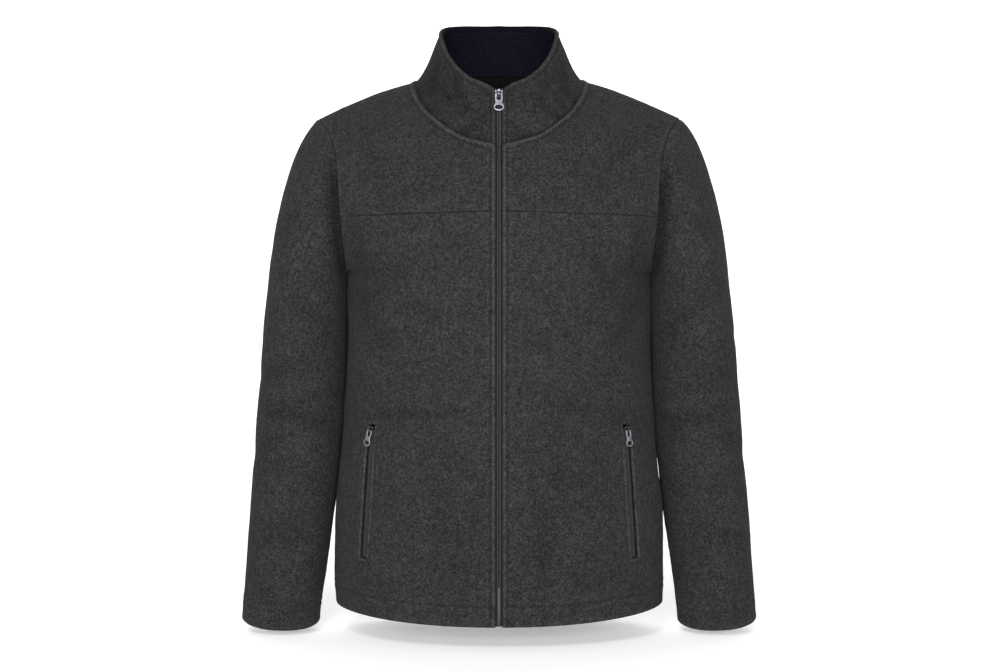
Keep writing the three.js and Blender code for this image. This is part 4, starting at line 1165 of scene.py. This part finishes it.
def pocket_stitching(near, far, slit):
    """Stitch lines across the ends of the pocket and beside its slit."""
    rows = np.flatnonzero(slit["inside"] > -POCKET_STITCH)
    sides = []
    for grid, sign in ((near, -1), (far, 1)):
        places = slit["middle"] + sign * (POCKET_HALF + POCKET_STITCH)
        line = []
        for key in ("outer", "normal"):
            values = [
                [np.interp(places[j], grid["left"][j], grid[key][j, :, k]) for k in range(3)]
                for j in rows
            ]
            line.append(np.array(values))
        sides.append(line)
    one, other = sides
    ends = [[np.linspace(one[k][end], other[k][end], 7) for k in range(2)] for end in (0, -1)]
    return ends + sides


def front_panel(name, side):
    """The lower front, as two grids that part at the pocket's slit."""
    seed = SEEDS["front"][side]
    rows = front_rows()
    share, arcs = row_arcs(rows)
    slit = slit_in(rows, share, arcs)

    def near_marks(length):
        lines = [(ZIP_STITCH, *LINE_MARK), (length - POCKET_STITCH, *LINE_MARK)]
        return edge_marks(length) + [SWELL_MARK] + lines

    def far_marks(length):
        return edge_marks(length) + [(POCKET_STITCH, *LINE_MARK)]

    spans = (
        (np.zeros(len(rows)), slit["middle"] - slit["half"], near_marks),
        (slit["middle"] + slit["half"], arcs[:, -1], far_marks),
    )
    relief_of = functools.partial(front_relief, slit=slit, seed=seed)
    blocks = []
    for start, end, marks in spans:
        measured = across_rows(rows, start, end, marks)
        blocks.append(body_block(rows, *measured, side, relief_of, FRONT_CREASES))
    near, far = blocks
    share_column(near, far, slit["half"] == 0, -1, 0)
    piece = cloth(name, blocks)
    hem = end_to_end(*[line_at(grid, "bottom", HEM) for grid in blocks])
    return piece, [line_at(near, "left", ZIP_STITCH), hem] + pocket_stitching(near, far, slit)


def yoke_relief(grid, seed):
    """The yoke's soft form, fine relief, thickness and rolled edges."""
    s = grid["bottom"]
    on_neck = smooth(sections["inner"](grid["at"]), 0.998, 1.004)
    soft = lumps(grid["signed"]) * smooth(grid["left"], *CALM)
    relief = (1 - on_neck) * zip_edge_relief(grid["left"], s, seed + 7)
    relief = relief + neck_ridge(grid["neck"], s, seed + 3) * smooth(grid["left"], 0, 3)
    relief = relief + seam_puff(grid["right"], s, seed + 9, 0.7, 3.0, 2.4)
    relief = relief + seam_puff(grid["bottom"], grid["left"], seed + 11, 0.35)
    relief = relief + seam_puff(grid["top"], grid["left"], seed + 13, 0.4)
    edges = [(grid[key], SEAM_ROLL) for key in ("right", "bottom", "top")]
    edges.append((grid["left"], np.where(on_neck > 0.5, SEAM_ROLL, CLOTH / 2)))
    return soft, relief, np.full(relief.shape, CLOTH), edges


def yoke_panel(name, side):
    """The front yoke, from the chest seam over the shoulder."""
    rows = rows_between(AT_YOKE, AT_SHOULDER, [], [(AT_FRONT_NECK, SEAM_MARK)])
    _, arcs = row_arcs(rows)

    def marks(length):
        return edge_marks(length) + [(ZIP_STITCH, *LINE_MARK), SWELL_MARK]

    measured = across_rows(rows, np.zeros(len(rows)), arcs[:, -1], marks)
    relief_of = functools.partial(yoke_relief, seed=SEEDS["yoke"][side])
    grid = body_block(rows, *measured, side, relief_of, FRONT_CREASES)
    piece = cloth(name, [grid])
    zip_line = [a[rows <= AT_FRONT_NECK] for a in line_at(grid, "left", ZIP_STITCH)]
    return piece, [zip_line, neck_stitching(grid)]


def neck_stitching(grid):
    """The stitch line round the neck, where a panel's rows start beside the neck seam."""
    near_neck = grid["neck"][:, 0] < NECK_STITCH
    return [a[near_neck] for a in line_at(grid, "neck", NECK_STITCH)]


def neck_ridge(distance, s, seed):
    """The seam allowance of the collar, sewn down on the body's side."""
    raised = NECK_RIDGE * smooth(distance, *RIDGE_RISE) * (1 - smooth(distance, *RIDGE_FALL))
    return raised * uneven(0.35, s, seed) - swell(distance, RIDGE_GROOVE)


def back_relief(grid, seed):
    """The back's soft form, fine relief, thickness and rolled edges."""
    s = grid["bottom"]
    on_neck = 1 - smooth(sections["inner"](grid["at"]), 1.99, 2.02)
    hem, extra = hem_parts(grid["top"], grid["signed"][..., 0], 67)
    soft = lumps(grid["signed"]) + side_press(grid)
    relief = hem + neck_ridge(grid["neck"], s, 71)
    relief = relief + seam_puff(grid["right"], s, seed + 9, 0.5)
    relief = relief + seam_puff(grid["bottom"], grid["left"], seed + 11, 0.4)
    edges = [
        (np.where(on_neck > 0.5, grid["left"], FAR), SEAM_ROLL),
        (grid["right"], SEAM_ROLL),
        (grid["bottom"], SEAM_ROLL),
        (grid["top"], (CLOTH + HEM_EXTRA) / 2),
    ]
    return soft, relief, CLOTH + extra, edges


def back_panel():
    """The back, two mirrored grids that share their centre line."""
    rows = rows_between(AT_SHOULDER, 1.0, [(-HEM, LINE_MARK)], [(AT_BACK_NECK, SEAM_MARK)])
    _, arcs = row_arcs(rows)
    measured = across_rows(rows, np.zeros(len(rows)), arcs[:, -1], edge_marks)
    grids = []
    for side in (1, -1):
        relief_of = functools.partial(back_relief, seed=SEEDS["back"][side])
        grids.append(body_block(rows, *measured, side, relief_of, BACK_CREASES))
    share_column(*grids, rows >= AT_BACK_NECK, 0, 0)
    piece = cloth("panel_back", grids)
    hems = [line_at(grid, "top", HEM) for grid in grids]
    lines = [neck_stitching(grid) for grid in grids]
    return piece, lines + [end_to_end(backward(hems[0]), without_first(hems[1]))]


def sleeve_grid_lines():
    """Turns round the sleeve and places down it, at equal distances on its front."""
    dense = np.linspace(0, 2, ROW_SAMPLES * 3)
    length = arc(sleeve_form(90.0, dense), 0)
    marks = edge_marks(length[-1]) + [(length[-1] - HEM, *LINE_MARK)]
    downs = np.interp(spread(length[-1], marks), length, dense)
    turns = np.linspace(-180, 180, SLEEVE_COLUMNS + 1)[:-1]
    return np.meshgrid(turns, downs)


def sleeve_tuck(turn, head):
    """How much the cloth tucks in beside the front of the armhole, from 0 to 1."""
    start, full, ending, end = TUCK_TURNS
    at_front = smooth(turn, start, full) * (1 - smooth(turn, ending, end))
    return at_front * np.exp(-((head / TUCK_REACH) ** 1.5))


def sleeve_panel(name, side):
    """A set-in sleeve, sewn under the arm."""
    seed = SEEDS["sleeve"][side]
    creases = LEFT_SLEEVE_CREASES if side > 0 else RIGHT_SLEEVE_CREASES
    turn, down = sleeve_grid_lines()
    p = sleeve_form(turn, down)
    normal = sleeve_normal(turn, down)
    head = arc(p, 0)
    cuff = head[-1:] - head
    around = (turn + 180) * ROUND
    under = np.abs((turn + 360) % 360 - 180) * ROUND

    def beside(fold):
        return ((turn - fold["turn"] + 540) % 360 - 180) * ROUND

    folds = smooth(down, 0, 0.3) * fold_depths(SLEEVE_FOLDS, beside, p[..., 2])
    fine = smooth(head, 2, 20) * fold_depths(creases, beside, p[..., 2])
    tuck = sleeve_tuck(turn, head)
    fine = fine + TUCK * tuck * smooth(head, 0, 4)
    relief, extra = hem_parts(cuff, around, seed)
    relief = relief + seam_puff(head, around, seed + 3, 0.6, 3.2, 2.4)
    relief = relief - swell(under, UNDER_SEAM) + seam_puff(under, head, seed + 5, 0.4)
    soft = lumps(p * np.array([side, 1, 1])) * smooth(head, 0, 8)
    soft = soft + PRESS * bump(under, 0, PRESS_WIDTH) * press_at(p[..., 2])
    direction = toward(normal, armhole_outward(turn), head)
    edges = [(head, SEAM_ROLL), (cuff, (CLOTH + HEM_EXTRA) / 2)]
    body = p - normal * (folds + fine)[..., None]
    outer, inner = walls(body, direction, soft + relief, CLOTH + extra, edges)
    grid = {"outer": outer, "inner": inner, "direction": direction, "bottom": head, "top": cuff}
    # Painted light on the relief, with painted shade in the folds and in the tuck beside the armhole
    grid["nap"] = painted_light_of(relief - FOLD_PAINTED_SHADE * (folds + fine) - TUCK_PAINTED_SHADE * tuck)
    with_normals(on_side(grid, side), side < 0)
    piece = cloth(name, [grid], closed=True)
    cuff_line = [np.concatenate([a, a[:1]]) for a in line_at(grid, "top", HEM)]
    return piece, [cuff_line]


def dipped(p, turn, up):
    """The collar's points with its front corners lowered to the slider."""
    front = p[..., 0] - ZIP_EDGE + FAR * (turn > 90)
    fall = CORNER_DROP * np.exp(-np.maximum(front, 0) / CORNER_REACH) * smooth(up, 0.5, 1.0)
    return p - xyz(0, 0, fall)


def collar_grid(side, ups, start_turn, marks):
    """Points of half the collar, with the distances to its edges."""
    turns = np.array([np.linspace(start_turn(up), 180, ROW_SAMPLES) for up in ups])
    dense = collar_point(turns, ups[:, None])
    arcs = arc(dense, 1)
    count = len(spread(arcs[len(ups) // 2, -1], marks)) - 1
    distances = np.array([spread(row[-1], marks, count) for row in arcs])
    turn = np.array([np.interp(distances[j], arcs[j], turns[j]) for j in range(len(ups))])
    up = np.repeat(ups[:, None], turn.shape[1], axis=1)
    p = dipped(collar_point(turn, up), turn, up)
    p[:, -1, 0] = 0
    grid = {"turn": turn, "up": up, "p": p, "left": distances, "bottom": arc(p, 0)}
    grid["top"] = grid["bottom"][-1:] - grid["bottom"]
    grid["behind"] = distances[:, -1:] - distances
    grid["rim"] = from_line(p, dipped(dense[-1], turns[-1], 1.0))
    grid["direction"] = toward(collar_normal(turn, up), neck_outward(turn), grid["bottom"])
    grid["signed"] = p * np.array([side, 1, 1])
    return grid


def collar_wave(grid, side):
    """Uneven upright ripples, strongest above the seam."""
    s = grid["behind"] * side
    near_seam = 1 - 0.75 * smooth(grid["bottom"], *RIPPLES_FADE)
    ripple = sum(
        height * wander(s + grid["bottom"] * lean, wave, seed) for height, wave, seed, lean in RIPPLES
    )
    return ripple * near_seam * smooth(grid["left"], 3, 22) * smooth(grid["top"], 1, 16)


def start_of_collar(up):
    return float(collar_turn_at(ZIP_EDGE, up))


def collar_half(side, ups):
    """Half the collar's fleece layer."""
    columns = [(0, *EDGE_MARK), (ZIP_STITCH, *LINE_MARK), SWELL_MARK]
    grid = collar_grid(side, ups, start_of_collar, columns)
    s = grid["behind"] * side
    soft = collar_wave(grid, side) + 0.5 * lumps(grid["signed"]) * smooth(grid["left"], *CALM)
    creased = creases_at(COLLAR_CREASES, grid["signed"]) * (grid["turn"] < 100)
    soft = soft - creased * smooth(grid["top"], 3, 12) * smooth(grid["bottom"], 3, 12)
    relief = zip_edge_relief(grid["left"], grid["bottom"], 201)
    relief = relief + swell(grid["rim"], RIM_SWELL) * uneven(0.45, s, 207)
    relief = relief + stitched(grid["rim"], RIM_STITCH, s, 211, 1.0)
    relief = relief - swell(grid["bottom"], NECK_GROOVE)
    edges = [(grid["left"], CLOTH / 2), (grid["bottom"], SEAM_ROLL), (grid["top"], CLOTH / 2)]
    thick = np.full(relief.shape, CLOTH)
    # Painted light on the collar's relief and ripples, on a colour drawn darker overall
    grid["nap"] = painted_light_of(relief + 0.5 * soft, COLLAR_TONE)
    grid["outer"], grid["inner"] = walls(grid["p"], grid["direction"], relief + soft, thick, edges)
    return with_normals(on_side(grid, side), side < 0)


def facing_half(side, ups):
    """Half the navy layer inside the collar."""
    grid = collar_grid(side, ups, lambda up: FACING_TURN, [(0, *EDGE_MARK)])
    s = grid["behind"] * side
    raised = 0.5 * lumps(grid["signed"]) + 0.35 * collar_wave(grid, side)
    raised = raised + stitched(grid["top"], FACING_STITCH, s, 217, 0.6)
    raised = raised + swell(grid["top"], FACING_SWELL)
    edges = [(grid[key], FACING / 2) for key in ("left", "bottom", "top")]
    thick = np.full(raised.shape, FACING)
    under = grid["p"] - grid["direction"] * (CLOTH + LAYER_GAP + FACING)
    grid["inner"], grid["outer"] = walls(under, -grid["direction"], raised, thick, edges)
    grid["nap"], grid["inner_nap"], grid["flipped"] = np.ones(raised.shape), 1.0, side < 0
    return on_side(grid, side)


def collar_ups(marks):
    """Heights up the collar, at real distances above its side."""
    dense = np.linspace(0, 1, ROW_SAMPLES)
    length = arc(collar_point(60.0, dense), 0)
    places = [(place if place >= 0 else length[-1] + place, *mark) for place, mark in marks]
    return np.interp(spread(length[-1], edge_marks(length[-1]) + places), length, dense)


def collar_layers():
    """The collar's fleece layer and, inside it, the navy one."""
    ups = collar_ups([(-RIM_STITCH, LINE_MARK), (-SWELL_MARK[0], SWELL_MARK[1:])])
    grids = [collar_half(side, ups) for side in (1, -1)]
    share_column(*grids, ups >= 0, -1, -1)
    collar = cloth("panel_collar", grids)
    lines = [line_at(grid, "left", ZIP_STITCH) for grid in grids]
    rims = [line_at(grid, "rim", RIM_STITCH) for grid in grids]
    lines.append(end_to_end(rims[0], without_first(backward(rims[1]))))

    low, high = FACING_SHARES
    inner_ups = low + (high - low) * collar_ups([(-FACING_STITCH, LINE_MARK)])
    facing_grids = [facing_half(side, inner_ups) for side in (1, -1)]
    share_column(*facing_grids, inner_ups >= 0, -1, -1)
    facing = cloth("panel_collar_facing", facing_grids, NAVY, "collar_facing")
    bands = []
    for grid in facing_grids:
        shown = {"outer": grid["inner"], "normal": -grid["direction"], "top": grid["top"]}
        bands.append(line_at(shown, "top", FACING_STITCH))
    return collar, facing, lines, end_to_end(bands[0], without_first(backward(bands[1])))


# Zips: a woven tape with a row of coil loops on each side of the middle
def strip(grid):
    """A closed strip from rows of points that run round its section."""
    rows, count = grid.shape[:2]
    faces = []
    for j in range(rows - 1):
        for i in range(count):
            a, b = j * count + i, j * count + (i + 1) % count
            faces.append([a, b, b + count, a + count])
    faces.append(list(range(count - 1, -1, -1)))
    faces.append(list(range((rows - 1) * count, rows * count)))
    return grid.reshape(-1, 3), faces


def tape_profile(low, high):
    """A tape's section, with its edges rounded."""
    return np.array([
        (low, TAPE_BACK + TAPE_SOFT), (low, TAPE_FRONT - TAPE_SOFT), (low + TAPE_SOFT, TAPE_FRONT),
        (high - TAPE_SOFT, TAPE_FRONT), (high, TAPE_FRONT - TAPE_SOFT), (high, TAPE_BACK + TAPE_SOFT),
        (high - TAPE_SOFT, TAPE_BACK), (low + TAPE_SOFT, TAPE_BACK),
    ])


def coil(place, normal, along, side):
    """Coil loops across a zip half: flat rounded bars, one for each turn of the coil."""
    across = np.cross(along, normal)
    low, high = LOOP_START, CHAIN_HALF - LOOP_SHORT
    centre = place + across * (side * (low + high) / 2) - normal * LOOP_DEPTH
    size = (high - low, BAR_PITCH * LOOP_SHARE, LOOP_HALF_HIGH)
    return copies(LOOP, centre, np.stack([across, along, normal], axis=1), size)


def cord_under(place, normal, along, side):
    """The rounded band that the loops are wound and sewn on."""
    across = np.cross(along, normal)
    turns = np.linspace(0, 2 * math.pi, 12, endpoint=False)
    middle, half = (CHAIN_GAP + CHAIN_HALF) / 2, (CHAIN_HALF - CHAIN_GAP) / 2
    beside = side * (middle + half * np.cos(turns))[None, :, None]
    depth = (BAND_HALF_HIGH * np.sin(turns) - BAND_DEPTH)[None, :, None]
    place, across, normal = (a[::3, None] for a in (place, across, normal))
    return strip(place + across * beside + normal * depth)


def zip_half(place, normal, along, side):
    """One half of a chain: its loops and their band."""
    return [coil(place, normal, along, side), cord_under(place, normal, along, side)]


def even_shares(line, low, high, pitch):
    """Shares of a line at even distances along it."""
    dense = np.linspace(low, high, ZIP_SAMPLES)
    length = arc(line(dense), 0)
    return np.interp(np.arange(pitch / 2, length[-1], pitch), length, dense)


def main_zip():
    """The centre zip's tapes and chain, in two halves."""
    shares = even_shares(lambda s: front_line(s, 0.0)[0], CHAIN_LOW, CHAIN_TOP, BAR_PITCH)
    place, normal = front_line(shares, 0.0)
    along = unit(np.gradient(place, axis=0))
    rows = np.linspace(CHAIN_LOW, CHAIN_TOP, MAIN_ROWS)
    beside, depth = tape_profile(CHAIN_GAP, TAPE_HALF).T
    p, n = front_line(rows[:, None], beside[None])
    for name, side in (("left", 1), ("right", -1)):
        points, faces = strip((p + n * depth[:, None]) * np.array([side, 1, 1]))
        faces = [face[::-1] for face in faces] if side > 0 else faces
        make("tape_main_" + name, points, faces, SHADED_TAPE, "zip_tape", ["zip_tape_" + name], sharp=TAPE_SHARP)
        chain = joined(zip_half(place, normal, along, side))
        make("coil_main_" + name, *chain, COIL, "zip_tape", weld=False, sharp=COIL_SHARP)


def pocket_zip(name, side):
    """A pocket's closed zip: one tape and the chain's two halves."""
    shares = even_shares(lambda s: pocket_line(s)[0], POCKET_CHAIN_LOW, POCKET_CHAIN_TOP, BAR_PITCH)
    place, normal, along = pocket_line(shares)
    place = place - normal * POCKET_DEEPER
    rows = np.linspace(POCKET_CHAIN_LOW, POCKET_CHAIN_TOP, POCKET_ROWS)
    beside, depth = tape_profile(-TAPE_HALF, TAPE_HALF).T
    p, n, _ = pocket_line(rows[:, None], beside[None])
    tape = strip(p + n * (depth - POCKET_DEEPER)[:, None])
    chain = joined([part for half in (1, -1) for part in zip_half(place, normal, along, half)])
    if side < 0:
        tape, chain = (
            (flipped_x(points), [face[::-1] for face in faces]) for points, faces in (tape, chain)
        )
    node = "pocket_zip_" + name
    make("tape_pocket_" + name, *tape, POCKET_TAPE, "zip_tape", [node], sharp=TAPE_SHARP)
    make("coil_pocket_" + name, *chain, COIL, "zip_tape", weld=False, sharp=COIL_SHARP)


# Sliders and pulls. A plate's numbers are its back, its front and its bevel
PULL_PLATE, AXLE_SIZE = (-0.6, 0.6, 0.36), (4.6, 0.55, 0.55)
FRONT_PLATE, BACK_PLATE, CROWNED = (0.75, 2.25, 0.45), 1.2, 0.35
PLATE_ROOM = 0.7  # between the tape and the slider's back plate
BRIDGE = (1.1, 3.4, 2.05, HINGE + 1.35, 1.05)  # half width, foot, base, crown and thickness
CROWN_LOBES = (  # places and half sizes
    ((3.9, 3.95, 2.3), (1.5, 2.35, 0.7)), ((-3.9, 3.95, 2.3), (1.5, 2.35, 0.7)),
    ((0, 5.6, 2.45), (2.2, 1.5, 0.85)), ((0, 4.6, 2.3), (3.9, 1.0, 0.6)),
)


def plate(outlines, back, front, bevel):
    """A plate with rounded edges from closed outlines, the first one outside: points and faces."""
    data = bpy.data.curves.new("outline", "CURVE")
    data.dimensions = "2D"
    data.fill_mode = "BOTH"
    for outline in outlines:
        spline = data.splines.new("POLY")
        spline.points.add(len(outline) - 1)
        corners = np.c_[outline, np.zeros(len(outline)), np.ones(len(outline))]
        spline.points.foreach_set("co", corners.ravel())
        spline.use_cyclic_u = True
    data.extrude = (front - back) / 2 - bevel
    data.bevel_depth = bevel
    data.bevel_resolution = 3
    data.offset = -bevel
    holder = bpy.data.objects.new("outline", data)
    bpy.context.scene.collection.objects.link(holder)
    mesh = bpy.data.meshes.new_from_object(holder.evaluated_get(bpy.context.evaluated_depsgraph_get()))
    points = np.zeros(len(mesh.vertices) * 3)
    mesh.vertices.foreach_get("co", points)
    points = points.reshape(-1, 3) + np.array([0, 0, (front + back) / 2])
    faces = [list(polygon.vertices) for polygon in mesh.polygons]
    bpy.data.objects.remove(holder)
    bpy.data.curves.remove(data)
    bpy.data.meshes.remove(mesh)
    return points, faces


def quad_curve(a, b, c, count=9):
    """Points of a curve from a to c that leans to b, without the first."""
    t = np.linspace(0, 1, count + 1)[1:, None]
    a, b, c = np.array(a, float), np.array(b, float), np.array(c, float)
    return a * (1 - t) ** 2 + 2 * b * t * (1 - t) + c * t * t


def ellipse(middle, half, rise, start, end, count):
    t = np.linspace(start, end, count)
    return np.c_[half * np.cos(t), middle + rise * np.sin(t)]


def plate_outline(top, long, shoulder_half, foot_half):
    """A slider's plate: round shoulders, a small point at the top and a tapered foot."""
    shoulder = (shoulder_half, top - 4)
    half = np.concatenate([
        [[foot_half - 0.5, top - long], [foot_half, top - long + 0.5], shoulder],
        quad_curve(shoulder, (shoulder_half, top - 1), (2.6, top - 0.6)),
        [[1.1, top - 0.45]],
    ])
    return np.concatenate([half, [[0, top]], half[::-1] * np.array([-1, 1])])


def pull_outlines():
    """The pull's outline, and the slot and ring hole in it. It hangs down from its hinge at 0."""
    long, axle_half, neck_half, waist, waist_half = 24, 0.7, 5.2, 10, 4.5
    slot_half, slot_long, ring_half, ring_rise, wire = 2.4, 7.6, 6.7, 5, 1.95
    ring_middle = ring_rise + axle_half - long
    ring_top = ring_middle + ring_rise
    ring_join, ring_start = (ring_half - 0.8, ring_middle + 2.5), 0.4
    half = np.concatenate([
        [[neck_half - 0.5, axle_half], [neck_half, axle_half - 0.5], [neck_half, -2]],
        quad_curve((neck_half, -2), (neck_half, 3 - waist), (waist_half, -waist)),
        quad_curve((waist_half, -waist), (waist_half + 0.3, ring_top), ring_join),
        ellipse(ring_middle, ring_half, ring_rise, ring_start, -math.pi / 2, 22),
    ])
    outside = np.concatenate([half, half[-2::-1] * np.array([-1, 1])])
    slot = np.concatenate([
        [[-slot_half, -axle_half], [-slot_half, -slot_long]],
        quad_curve((-slot_half, -slot_long), (0, -slot_long - slot_half), (slot_half, -slot_long)),
        [[slot_half, -axle_half]],
    ])
    hole = ellipse(ring_middle, ring_half - wire, ring_rise - wire, 0, 2 * math.pi, 41)[:-1]
    return [outside, slot, hole]


def pull_shape():
    """The pull's plate and the axle through its top."""
    points, faces = capsule(10, [(-0.5, 0.8), (-0.48, 1), (0.48, 1), (0.5, 0.8)])
    axle = points * np.array(AXLE_SIZE), faces
    return joined([plate(pull_outlines(), *PULL_PLATE), axle])


def bridge_shape(half_wide, foot, base, crown, thick):
    """The arch over a slider's plate: a rounded band along Y that stands in Z."""
    turns = np.linspace(math.pi, 0, 25)
    line = np.c_[foot * np.cos(turns), base + (crown + thick / 2 - base) * np.sin(turns) ** 0.85]
    line[:, 0] *= 1 - thick / (2 * foot)
    tangent = unit(np.gradient(line, axis=0))
    normal = np.c_[-tangent[:, 1], tangent[:, 0]]
    section = np.linspace(0, 2 * math.pi, 12, endpoint=False)
    wide, high = half_wide * squared(np.cos(section)), thick / 2 * squared(np.sin(section))
    rings = line[:, None] + high[None, :, None] * normal[:, None]
    across = np.broadcast_to(wide[None, :, None], (len(line), len(section), 1))
    return strip(np.concatenate([across, rings], axis=-1))


def slider_shape(rear):
    """Two plates and, at the top, the post between them. The front plate is slightly crowned."""
    top, long, shoulder, foot = 7.0, 12.5, 5.2, 3.2
    outline = plate_outline(top, long, shoulder, foot)
    points, faces = plate([outline], *FRONT_PLATE)
    lift = CROWNED * np.clip(1 - (points[:, 0] / shoulder) ** 2, 0, 1)
    points[:, 2] += np.where(points[:, 2] > sum(FRONT_PLATE[:2]) / 2, lift, 0)
    back = plate([outline], -rear - BACK_PLATE, -rear, 0.35)
    turns = np.linspace(0, 2 * math.pi, 16, endpoint=False)
    post_outline = np.c_[1.5 * np.cos(turns), top - 2.4 + 1.2 * np.sin(turns)]
    post = plate([post_outline], -rear - 0.3, 1.1, 0.1)
    return joined([(points, faces), back, post])


def lobe(middle, half):
    """A smooth rounded knob."""
    high, around = np.meshgrid(np.linspace(-1, 1, 9) * math.pi / 2, np.linspace(0, 2 * math.pi, 17)[:-1])
    ball = xyz(np.cos(high) * np.cos(around), np.cos(high) * np.sin(around), np.sin(high))
    return strip(np.swapaxes(ball, 0, 1) * np.array(half) + np.array(middle))


def crown_shape():
    """The raised top of the slider, a point between two shoulders, and the bridge for the pull."""
    lobes = [lobe(middle, half) for middle, half in CROWN_LOBES]
    return joined(lobes + [bridge_shape(*BRIDGE)])


def frame_at(place, normal, along):
    across = unit(np.cross(along, normal))
    up = unit(np.cross(normal, across))
    return np.stack([across, up, normal]), place


def placed(shape, axes, place, size=1.0, tilt=0.0, rise=0.0):
    """A shape of the slider's frame in its place: tilt turns it on the cloth."""
    points, faces = shape
    c, s = math.cos(math.radians(tilt)), math.sin(math.radians(tilt))
    turned = np.c_[points[:, 0] * c - points[:, 1] * s, points[:, 0] * s + points[:, 1] * c, points[:, 2]]
    turned = turned + np.array([0, 0, rise])
    return turned * size @ axes + place, faces


def runner(names, axes, origin, size, tilt, deeper, pull_metal, crown_metal):
    """A slider with its crown and its pull: tilt is how the pull hangs, in degrees."""
    piece, node, pull, body = names
    slider = placed(slider_shape((PLATE_ROOM + deeper - TAPE_BACK) / size), axes, origin, size)
    crown = placed(crown_shape(), axes, origin, size)
    hanging = placed(pull_shape(), axes, origin, size, tilt, HINGE)
    # The slider body is drawn in the near-black copy of the plating: painted shade
    make(piece + "_metal", *slider, SHADED_SLIDER_METAL, "zip_metal", [node], sharp=METAL_SHARP)
    make(piece + "_crown", *crown, crown_metal, "zip_metal", sharp=METAL_SHARP)
    make(pull + "_metal", *hanging, pull_metal, "zip_metal", [pull], body=body, sharp=METAL_SHARP)


SIDES = (("left", 1, 5.0), ("right", -1, -14.0))  # and the tilt of the pocket's pull


def all_cloth():
    """Every cloth piece and every line of stitches on the outside, and the facing's own line."""
    sheets, sewing = [], []
    for name, side, _ in SIDES:
        for kind, panel in (("front", front_panel), ("yoke", yoke_panel), ("sleeve", sleeve_panel)):
            piece, lines = panel(f"panel_{kind}_{name}", side)
            sheets.append(piece)
            sewing += lines
    back, lines = back_panel()
    sewing += lines
    collar, facing, lines, band = collar_layers()
    return sheets + [back, collar, facing], sewing + lines, band


def all_zips():
    """The centre zip and the two pocket zips, with their sliders and pulls."""
    main_zip()
    for name, side, tilt in SIDES:
        pocket_zip(name, side)
        flip = np.array([side, 1, 1])
        place, normal, along = (v * flip for v in pocket_line(np.array(POCKET_SLIDER_AT)))
        piece = "pocket_slider_" + name
        names = piece, piece, "pocket_pull_" + name, name + "_pocket_pull"
        axes, origin = frame_at(place, normal, along)
        runner(names, axes, origin, POCKET_RUNNER, tilt, POCKET_DEEPER, POCKET_METAL, SHADED_CROWN_METAL)
    place, normal = front_line(np.array(SLIDER_AT), 0.0)
    ahead, _ = front_line(np.array(SLIDER_AT + 0.02), 0.0)
    names = "main_slider", "zip_slider", "zip_pull", "main_pull"
    runner(names, *frame_at(place, normal, unit(ahead - place)), 1.0, 0.0, 0.0, METAL, METAL)


sheets, sewing, band = all_cloth()
threads = joined([sewn(*line) for line in sewing])
make("topstitching", *threads, THREADS, "fleece", weld=False)
make("facing_stitching", *sewn(*band), NAVY_THREADS, "collar_facing", weld=False)
all_zips()

# Stage, light and camera, in metres
FLOOR = -0.712
STAGE_REACH, SWEEP_START, SWEEP, WALL_TOP = 9.0, 3.0, 2.0, 8.0
PAPER = {
    "Base Color": (0.9, 0.9, 0.9, 1),
    "Emission Color": (1, 1, 1, 1),
    "Emission Strength": 0.3,
    "Roughness": 0.9,
    "Specular IOR Level": 0.1,
}
WORLD_STRENGTH = 0.25
LIGHTS = (  # name, place, aim, size and power in watts
    ("key", (-0.5, -3.2, 1.6), (0, 0, -0.3), (0.9, 0.7), 62),
    ("front", (0, -4.6, 0.25), (0, 0, -0.6), (3.6, 1.4), 290),
    ("wall", (0, 1.6, 3.4), (0, 4.8, 0.4), (5.0, 1.0), 120),
)
CAMERA_AT, LENS, SENSOR, SHIFT = (0, -2.0, -0.3276), 54.93, 36, 0.005


def backdrop():
    """A floor that sweeps up into a wall far behind."""
    profile = [(-STAGE_REACH, FLOOR), (SWEEP_START, FLOOR)]
    for angle in np.linspace(0, math.pi / 2, 16)[1:]:
        y, z = SWEEP_START + SWEEP * math.sin(angle), FLOOR + SWEEP * (1 - math.cos(angle))
        profile.append((y, z))
    profile.append((SWEEP_START + SWEEP, WALL_TOP))
    points = [(x, y, z) for y, z in profile for x in (-STAGE_REACH, STAGE_REACH)]
    faces = [(2 * i, 2 * i + 1, 2 * i + 3, 2 * i + 2) for i in range(len(profile) - 1)]
    mesh = bpy.data.meshes.new("backdrop")
    mesh.from_pydata(points, [], faces)
    mesh.polygons.foreach_set("use_smooth", [True] * len(faces))
    material = bpy.data.materials.new("pale_paper")
    material.use_nodes = True
    shader = material.node_tree.nodes["Principled BSDF"]
    for key, value in PAPER.items():
        shader.inputs[key].default_value = value
    mesh.materials.append(material)
    piece = bpy.data.objects.new("backdrop", mesh)
    bpy.context.scene.collection.objects.link(piece)


def studio_world():
    world = bpy.data.worlds.new("studio")
    bpy.context.scene.world = world
    world.use_nodes = True
    background = world.node_tree.nodes["Background"]
    background.inputs["Color"].default_value = (1, 1, 1, 1)
    background.inputs["Strength"].default_value = WORLD_STRENGTH


def area_light(name, place, aim, size, power):
    data = bpy.data.lights.new(name, "AREA")
    data.shape = "RECTANGLE"
    data.size, data.size_y = size
    data.energy = power
    lamp = bpy.data.objects.new(name, data)
    lamp.location = place
    lamp.rotation_euler = (Vector(aim) - Vector(place)).to_track_quat("-Z", "Y").to_euler()
    bpy.context.scene.collection.objects.link(lamp)


def front_camera():
    data = bpy.data.cameras.new("camera")
    data.sensor_width = SENSOR
    data.lens = LENS
    data.shift_x = SHIFT
    camera = bpy.data.objects.new("camera", data)
    camera.location = CAMERA_AT
    camera.rotation_euler = (math.pi / 2, 0, 0)
    bpy.context.scene.collection.objects.link(camera)
    bpy.context.scene.camera = camera
    bpy.context.scene.view_settings.view_transform = "Standard"


backdrop()
studio_world()
for light in LIGHTS:
    area_light(*light)
front_camera()

# A loop over the cloth pieces, which does nothing
for piece in sheets:
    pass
